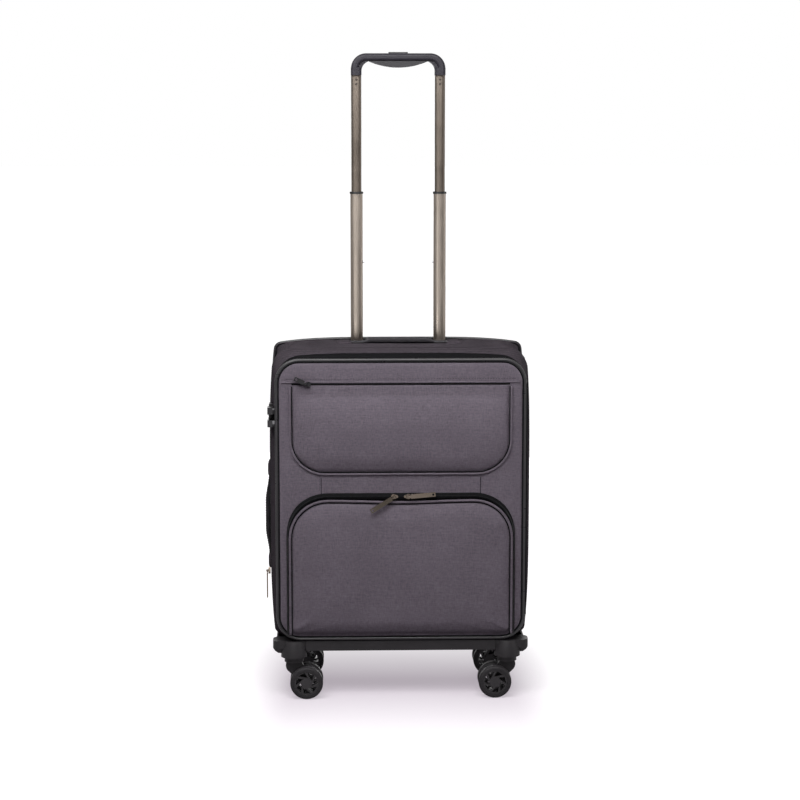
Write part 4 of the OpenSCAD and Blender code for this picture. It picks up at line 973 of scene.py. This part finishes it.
for side, word in SIDES:
    line = np.array([(side * BAND_SEAM_X, SEWN_Y, z) for z in np.linspace(*BAND_SEAM_Z, 8)])
    make(f"band_seam_{word}", *tube_mesh(line, BAND_SEAM_R, (0, -1, 0), False, 8), TAPE, "lid", "zip_tape")
upper_path = under_arch(LID_FRONT - POCKET_PIPING_R, POCKET_PIPING_R)
make("upper_pocket_piping", *tube_mesh(upper_path, POCKET_PIPING_R, (0, -1, 0), False), CLOTH, "lid",
     "case_cloth")
# Dark tubes in the grooves inside the upper pocket's piping and inside the lid's piping: painted shade for
# those crevices.
groove_shade("upper_pocket_groove_shade", under_arch(LID_FRONT - 2.0, POCKET_EDGE + 0.7), "lid")
groove_shade("lid_groove_shade", resample(ring(lid_outline(5.9), LID_FRONT + 1.3, LID_MID), PATH_STEP, True), "lid", True)

zip_run = np.linspace(-UPPER_ZIP_L / 2, UPPER_ZIP_L / 2, 120)
zip_path = np.array([(x, LID_FRONT - 0.8, UPPER_ZIP_Z) for x in zip_run])
zip_open = zip_path[np.abs(zip_path[:, 0]) < UPPER_W / 2 - 4]
UPPER_TAPE_W, UPPER_TAPE_LIFT, WELT_R = 4.4, 0.4, 1.3


def upper_zip_tape():
    """A flat band along the upper pocket's zip, with thin edges."""
    t, o, s = frames(zip_open, (0, -1, 0), False)
    section = ((-1, 0), (-0.9, UPPER_TAPE_LIFT), (0.9, UPPER_TAPE_LIFT), (1, 0))
    rows = [zip_open + s * a * UPPER_TAPE_W / 2 + o * b for a, b in section]
    verts, faces = loft(list(np.transpose(rows, (1, 0, 2))))
    make("upper_zip_tape", verts, faces, TAPE, "lid", "zip_tape", ["upper_pocket_zip"])


upper_zip_tape()
teeth("upper_zip_coil", zip_open + (0, -0.4, 0), (0, -1, 0), "lid", closed=False, across=1.8)
make("upper_zip_welt", *tube_mesh(zip_path + (0, -0.3, 2.2), WELT_R, (0, -1, 0), False, 12), CLOTH, "lid",
     "case_cloth")


def lower_pocket():
    """The lower pocket, open at its back."""
    w, h, r = LOWER_W - 2 * POCKET_EDGE, LOWER_H - POCKET_EDGE, LOWER_R - POCKET_EDGE
    shape = lambda i: outline(w - 2 * i, h - 2 * i, [max(c - i, POCKET_CORNER) for c in (r, r, 6, 6)])
    profile = pillow(LOWER_EDGE_Y, 6.2, 5.4, 106.0, 98)
    verts, faces = loft(pad_rings(shape, LOWER_Z + 1.0 + h / 2, LID_FRONT - 0.8, profile), caps=True)
    hang(verts)
    obj = make("lower_pocket_pad", verts, faces, [CLOTH, LINING], "lower_pocket", "case_cloth",
               ["lower_pocket_panel"])
    settle(obj, lambda p: p[:, 1] > LOWER_PIN_Y)
    open_back(obj, LID_FRONT - 1.6)


lower_pocket()
lower_path = hang(arch(LOWER_W, LOWER_H, LOWER_R, LOWER_Z, LOWER_PIPING_Y, POCKET_PIPING_R))
make("lower_pocket_piping", *tube_mesh(lower_path, POCKET_PIPING_R, (0, -1, 0), False), CLOTH, "lower_pocket",
     "case_cloth")
# A dark tube in the groove inside the lower pocket's piping: painted shade for that crevice.
lower_path = hang(arch(LOWER_W, LOWER_H, LOWER_R, LOWER_Z, LOWER_GROOVE_SHADE_Y, POCKET_EDGE + 0.7))
groove_shade("lower_pocket_groove_shade", lower_path, "lower_pocket")
rim = hang(arch(LOWER_W - 6, LOWER_H - 3, LOWER_R - 3, LOWER_Z + 2, LID_FRONT - 1.4, 0))
teeth("lower_coil_pocket", rim, (0, 1, 0), "lower_pocket", closed=False, across=2.0)


FOLD_X, FOLD_T, FOLD_LEAN, FOLD_POINTS = 163.0, 0.7, 1.6, 9
FOLD_FROM, FOLD_TO, FOLD_FRONT = LOWER_Z + 6, LOWER_Z + 128, -86.0


def pocket_sides():
    """Cloth folded into the lower pocket's sides, which lets it tip open so far."""
    depth = np.linspace(LID_FRONT - 0.6, FOLD_FRONT, FOLD_POINTS)
    lean = FOLD_LEAN * np.sin(np.linspace(0, math.pi, FOLD_POINTS))
    for side, word in SIDES:
        rings = []
        for z in np.linspace(FOLD_FROM, FOLD_TO, 30):
            outer = [(side * (FOLD_X - b), y, z) for y, b in zip(depth, lean)]
            inner = [(side * (FOLD_X - FOLD_T - b), y, z) for y, b in zip(depth, lean)]
            rings.append(np.array(outer + inner[::-1]))
        verts, faces = loft(rings, caps=True)
        obj = make(f"pocket_side_{word}", verts, faces, LINING, None, "lining_cloth")
        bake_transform(obj)


pocket_sides()


ZIP_SIDE_W, ZIP_TOP_MORE, ZIP_WIDENS, ZIP_WIDE_BY = 3.2, 5.8, 0.72, 0.26
ZIP_FRONT = -84.1
ZIP_SECTION = ((0, LID_FRONT - 0.2), (0, -84.0), (0.5, ZIP_FRONT), (0.85, -83.6), (1, -82.2),
               (1.02, LID_FRONT - 0.2))


def lower_zip():
    """The tape round the lower pocket: wide over the top, narrow down the sides."""
    inner = arch(LOWER_W + 0.8, LOWER_H + 0.4, LOWER_R + 0.4, LOWER_Z, 0, 0)
    height = (inner[:, 2] - LOWER_Z) / LOWER_H
    wide = ZIP_SIDE_W + ZIP_TOP_MORE * smooth((height - ZIP_WIDENS) / ZIP_WIDE_BY)
    t, o, s = frames(inner, (0, -1, 0), False)
    away = np.sign(np.sum(s * (inner - (0, 0, LOWER_Z + LOWER_H / 2)), axis=1))[:, None] * s
    rows = []
    for share, y in ZIP_SECTION:
        r = inner + away * (wide * share)[:, None]
        r[:, 1] = y
        if share == 0:
            r = hang(r)
        rows.append(r)
    verts, faces = loft(list(np.transpose(rows, (1, 0, 2))))
    make("lower_zip_tape", verts, faces, TAPE, "lid", "zip_tape", ["lower_pocket_zip"])
    path = inner + away * (wide * 0.5)[:, None]
    path[:, 1] = ZIP_FRONT
    teeth("lower_zip_coil", path, (0, -1, 0), "lid", closed=False, across=2.4)


lower_zip()


# Sewn lines on the lid

FINE_THREAD = 0.45
ZIP_STITCH_X, ZIP_STITCH_UP = 178, 7.5
BAND_STITCH_X, BAND_STITCH_Z = 127.0, (336, 357)
line = [(x, SEWN_Y, UPPER_ZIP_Z + ZIP_STITCH_UP) for x in np.linspace(-ZIP_STITCH_X, ZIP_STITCH_X, 90)]
stitches("upper_zip_stitching", line, (0, -1, 0), "lid", "case_cloth", closed=False, thick=FINE_THREAD)
for side, word in SIDES:
    line = [(side * BAND_STITCH_X, SEWN_Y, z) for z in np.linspace(*BAND_STITCH_Z, 8)]
    stitches(f"band_seam_{word}", line, (0, -1, 0), "lid", "case_cloth", closed=False, thick=FINE_THREAD)


# Solids that keep their shape take a finish and softened edges.

def soften(obj, width):
    m = obj.modifiers.new("edges", "BEVEL")
    m.width = width * MM
    m.segments = 2
    m.limit_method = "ANGLE"
    m.angle_limit = math.radians(35)


slots = {s["node"]: s["material_slot"] for s in frame["record"]["subparts"]}
EDGE_WIDTH = {"base_plastic": 0.6, "grip_plastic": 0.5, "grip_soft": 0.4, "gloss_black": 0.4,
              "zip_metal": 0.3, "zip_black": 0.3}
OWN_FINISH = {
    "top_tubes": BRONZE_DARK, "lock_dial_1": MATT, "lock_dial_2": MATT, "lock_dial_3": MATT,
    "main_slider_upper": BLACK_METAL, "main_slider_lower": BLACK_METAL, "lock_button": BLACK_METAL,
    "handle_bezel": MATT, "grip_rivets": RIVET,
}
for name, obj in frame["nodes"].items():
    if obj.hide_render:
        continue
    obj.data.materials.clear()
    obj.data.materials.append(OWN_FINISH.get(name) or SLOT_MATERIAL[slots[name]])
    if slots[name] in EDGE_WIDTH:
        soften(obj, EDGE_WIDTH[slots[name]])
for name in (n for n in frame["nodes"] if n.startswith("wheels_")):
    mesh = frame["nodes"][name].data
    mesh.materials.append(HUB)
    for poly in mesh.polygons:
        c = poly.center / MM
        if math.hypot(abs(c.x) - AXLE_X, c.z - AXLE_Z) < TYRE_FROM:
            poly.material_index = 1


# Studio

def area_light(name, place, aim, size, power):
    data = bpy.data.lights.new(name, "AREA")
    data.shape = "RECTANGLE"
    data.size, data.size_y = size
    data.energy = power
    obj = bpy.data.objects.new(name, data)
    obj.location = place
    obj.rotation_euler = (Vector(aim) - Vector(place)).to_track_quat("-Z", "Y").to_euler()
    obj.visible_camera = False
    bpy.context.scene.collection.objects.link(obj)
    return obj


area_light("key", (-0.2, -0.84, 1.42), (0, -0.08, 0.4), (1.5, 0.9), 31)
gloss = area_light("gloss", (-0.5, -2.4, 0.3), (0, -0.08, 0.3), (0.9, 0.6), 5)
gloss.visible_diffuse = False
area_light("right_box", (2.0, -0.75, 0.75), (0, 0.08, 0.7), (0.5, 1.6), 6)
area_light("back_fill", (0.3, 2.2, 0.5), (0, 0, 0.4), (2.0, 1.0), 18)

SOFT_LIGHT, MIRRORED_FRONT, MIRRORED_BACK = 0.12, 0.28, 0.9
world = bpy.data.worlds.new("studio")
bpy.context.scene.world = world
world.use_nodes = True
tree = world.node_tree
tree.nodes.clear()
rays = tree.nodes.new("ShaderNodeLightPath")
seen = math_node(tree, "MAXIMUM", rays.outputs["Is Camera Ray"], rays.outputs["Is Transmission Ray"])
soft = node(tree, "ShaderNodeBackground", {"Color": (1, 1, 1, 1), "Strength": SOFT_LIGHT})
white = node(tree, "ShaderNodeBackground", {"Color": (1, 1, 1, 1), "Strength": 1.0})
toward = tree.nodes.new("ShaderNodeTexCoord").outputs["Generated"]
behind = node(tree, "ShaderNodeSeparateXYZ", {0: toward}).outputs[1]
mirrored = ranged(tree, behind, -0.6, 0.7, MIRRORED_FRONT, MIRRORED_BACK)
glossy = node(tree, "ShaderNodeBackground", {"Color": (1, 0.99, 0.98, 1), "Strength": mirrored})
mix = node(tree, "ShaderNodeMixShader",
           {0: rays.outputs["Is Glossy Ray"], 1: soft.outputs[0], 2: glossy.outputs[0]})
mix = node(tree, "ShaderNodeMixShader", {0: seen, 1: mix.outputs[0], 2: white.outputs[0]})
node(tree, "ShaderNodeOutputWorld", {0: mix.outputs[0]})

FLOOR = 30.0
# Painted shadow on the floor: its glow is lilac grey over the case's footprint and fades to white a little
# way beyond it, more slowly towards the front and back.
PAINTED_SHADOW_HALF, PAINTED_SHADOW_FADE, PAINTED_SHADOW_STRETCH = (0.17, 0.03, 0), 0.11, (1, 0.25, 1)
PAINTED_SHADOW_COLOR, FLOOR_COLOR, FLOOR_MIRRORED = (0.4, 0.36, 0.4, 1), (0.3, 0.28, 0.3, 1), 0.4
floor_mesh = bpy.data.meshes.new("floor")
corners = [(FLOOR * x, FLOOR * y, 0) for x, y in ((-1, -1), (1, -1), (1, 1), (-1, 1))]
floor_mesh.from_pydata(corners, [], [(0, 1, 2, 3)])
floor = bpy.data.objects.new("floor", floor_mesh)
bpy.context.scene.collection.objects.link(floor)
m, tree, shader, coords = base_material("floor", 0.9, Base_Color=FLOOR_COLOR, Specular_IOR_Level=0.1)
rays = tree.nodes.new("ShaderNodeLightPath")
beyond = node(tree, "ShaderNodeVectorMath", {0: coords}, operation="ABSOLUTE").outputs[0]
for operation, vector in (("SUBTRACT", PAINTED_SHADOW_HALF), ("MAXIMUM", (0, 0, 0)), ("MULTIPLY", PAINTED_SHADOW_STRETCH)):
    beyond = node(tree, "ShaderNodeVectorMath", {0: beyond, 1: vector}, operation=operation).outputs[0]
away = node(tree, "ShaderNodeVectorMath", {0: beyond}, operation="LENGTH").outputs["Value"]
# The floor's glow takes the painted shadow colour over the footprint and is white further away.
shadowed_glow = node(tree, "ShaderNodeMix", {"Factor": ranged(tree, away, 0.0, PAINTED_SHADOW_FADE, 0, 1), "A": PAINTED_SHADOW_COLOR,
                                    "B": (1, 1, 1, 1)}, data_type="RGBA")
mirrored = math_node(tree, "MULTIPLY", rays.outputs["Is Glossy Ray"], FLOOR_MIRRORED)
seen = math_node(tree, "ADD", rays.outputs["Is Camera Ray"], mirrored)
lit = node(tree, "ShaderNodeEmission", {"Color": shadowed_glow.outputs["Result"], "Strength": seen})
mix = node(tree, "ShaderNodeAddShader", {0: shader.outputs[0], 1: lit.outputs[0]})
tree.links.new(mix.outputs[0], tree.nodes["Material Output"].inputs[0])
floor_mesh.materials.append(m)

# Camera: fitted to the photograph's frame of 800 by 800
EYE = (-0.092, -3.295, 0.928)
PITCH, YAW = 7.98, 1.614
FOCAL_PX, FRAME_PX, SENSOR = 2086.6, 800, 36.0
camera_data = bpy.data.cameras.new("camera")
camera_data.sensor_fit = "HORIZONTAL"
camera_data.sensor_width = SENSOR
camera_data.lens = FOCAL_PX / FRAME_PX * SENSOR
camera = bpy.data.objects.new("camera", camera_data)
camera.location = EYE
camera.rotation_euler = (math.radians(90 - PITCH), 0, math.radians(-YAW))
bpy.context.scene.collection.objects.link(camera)
bpy.context.scene.camera = camera
bpy.context.scene.view_settings.view_transform = "Standard"
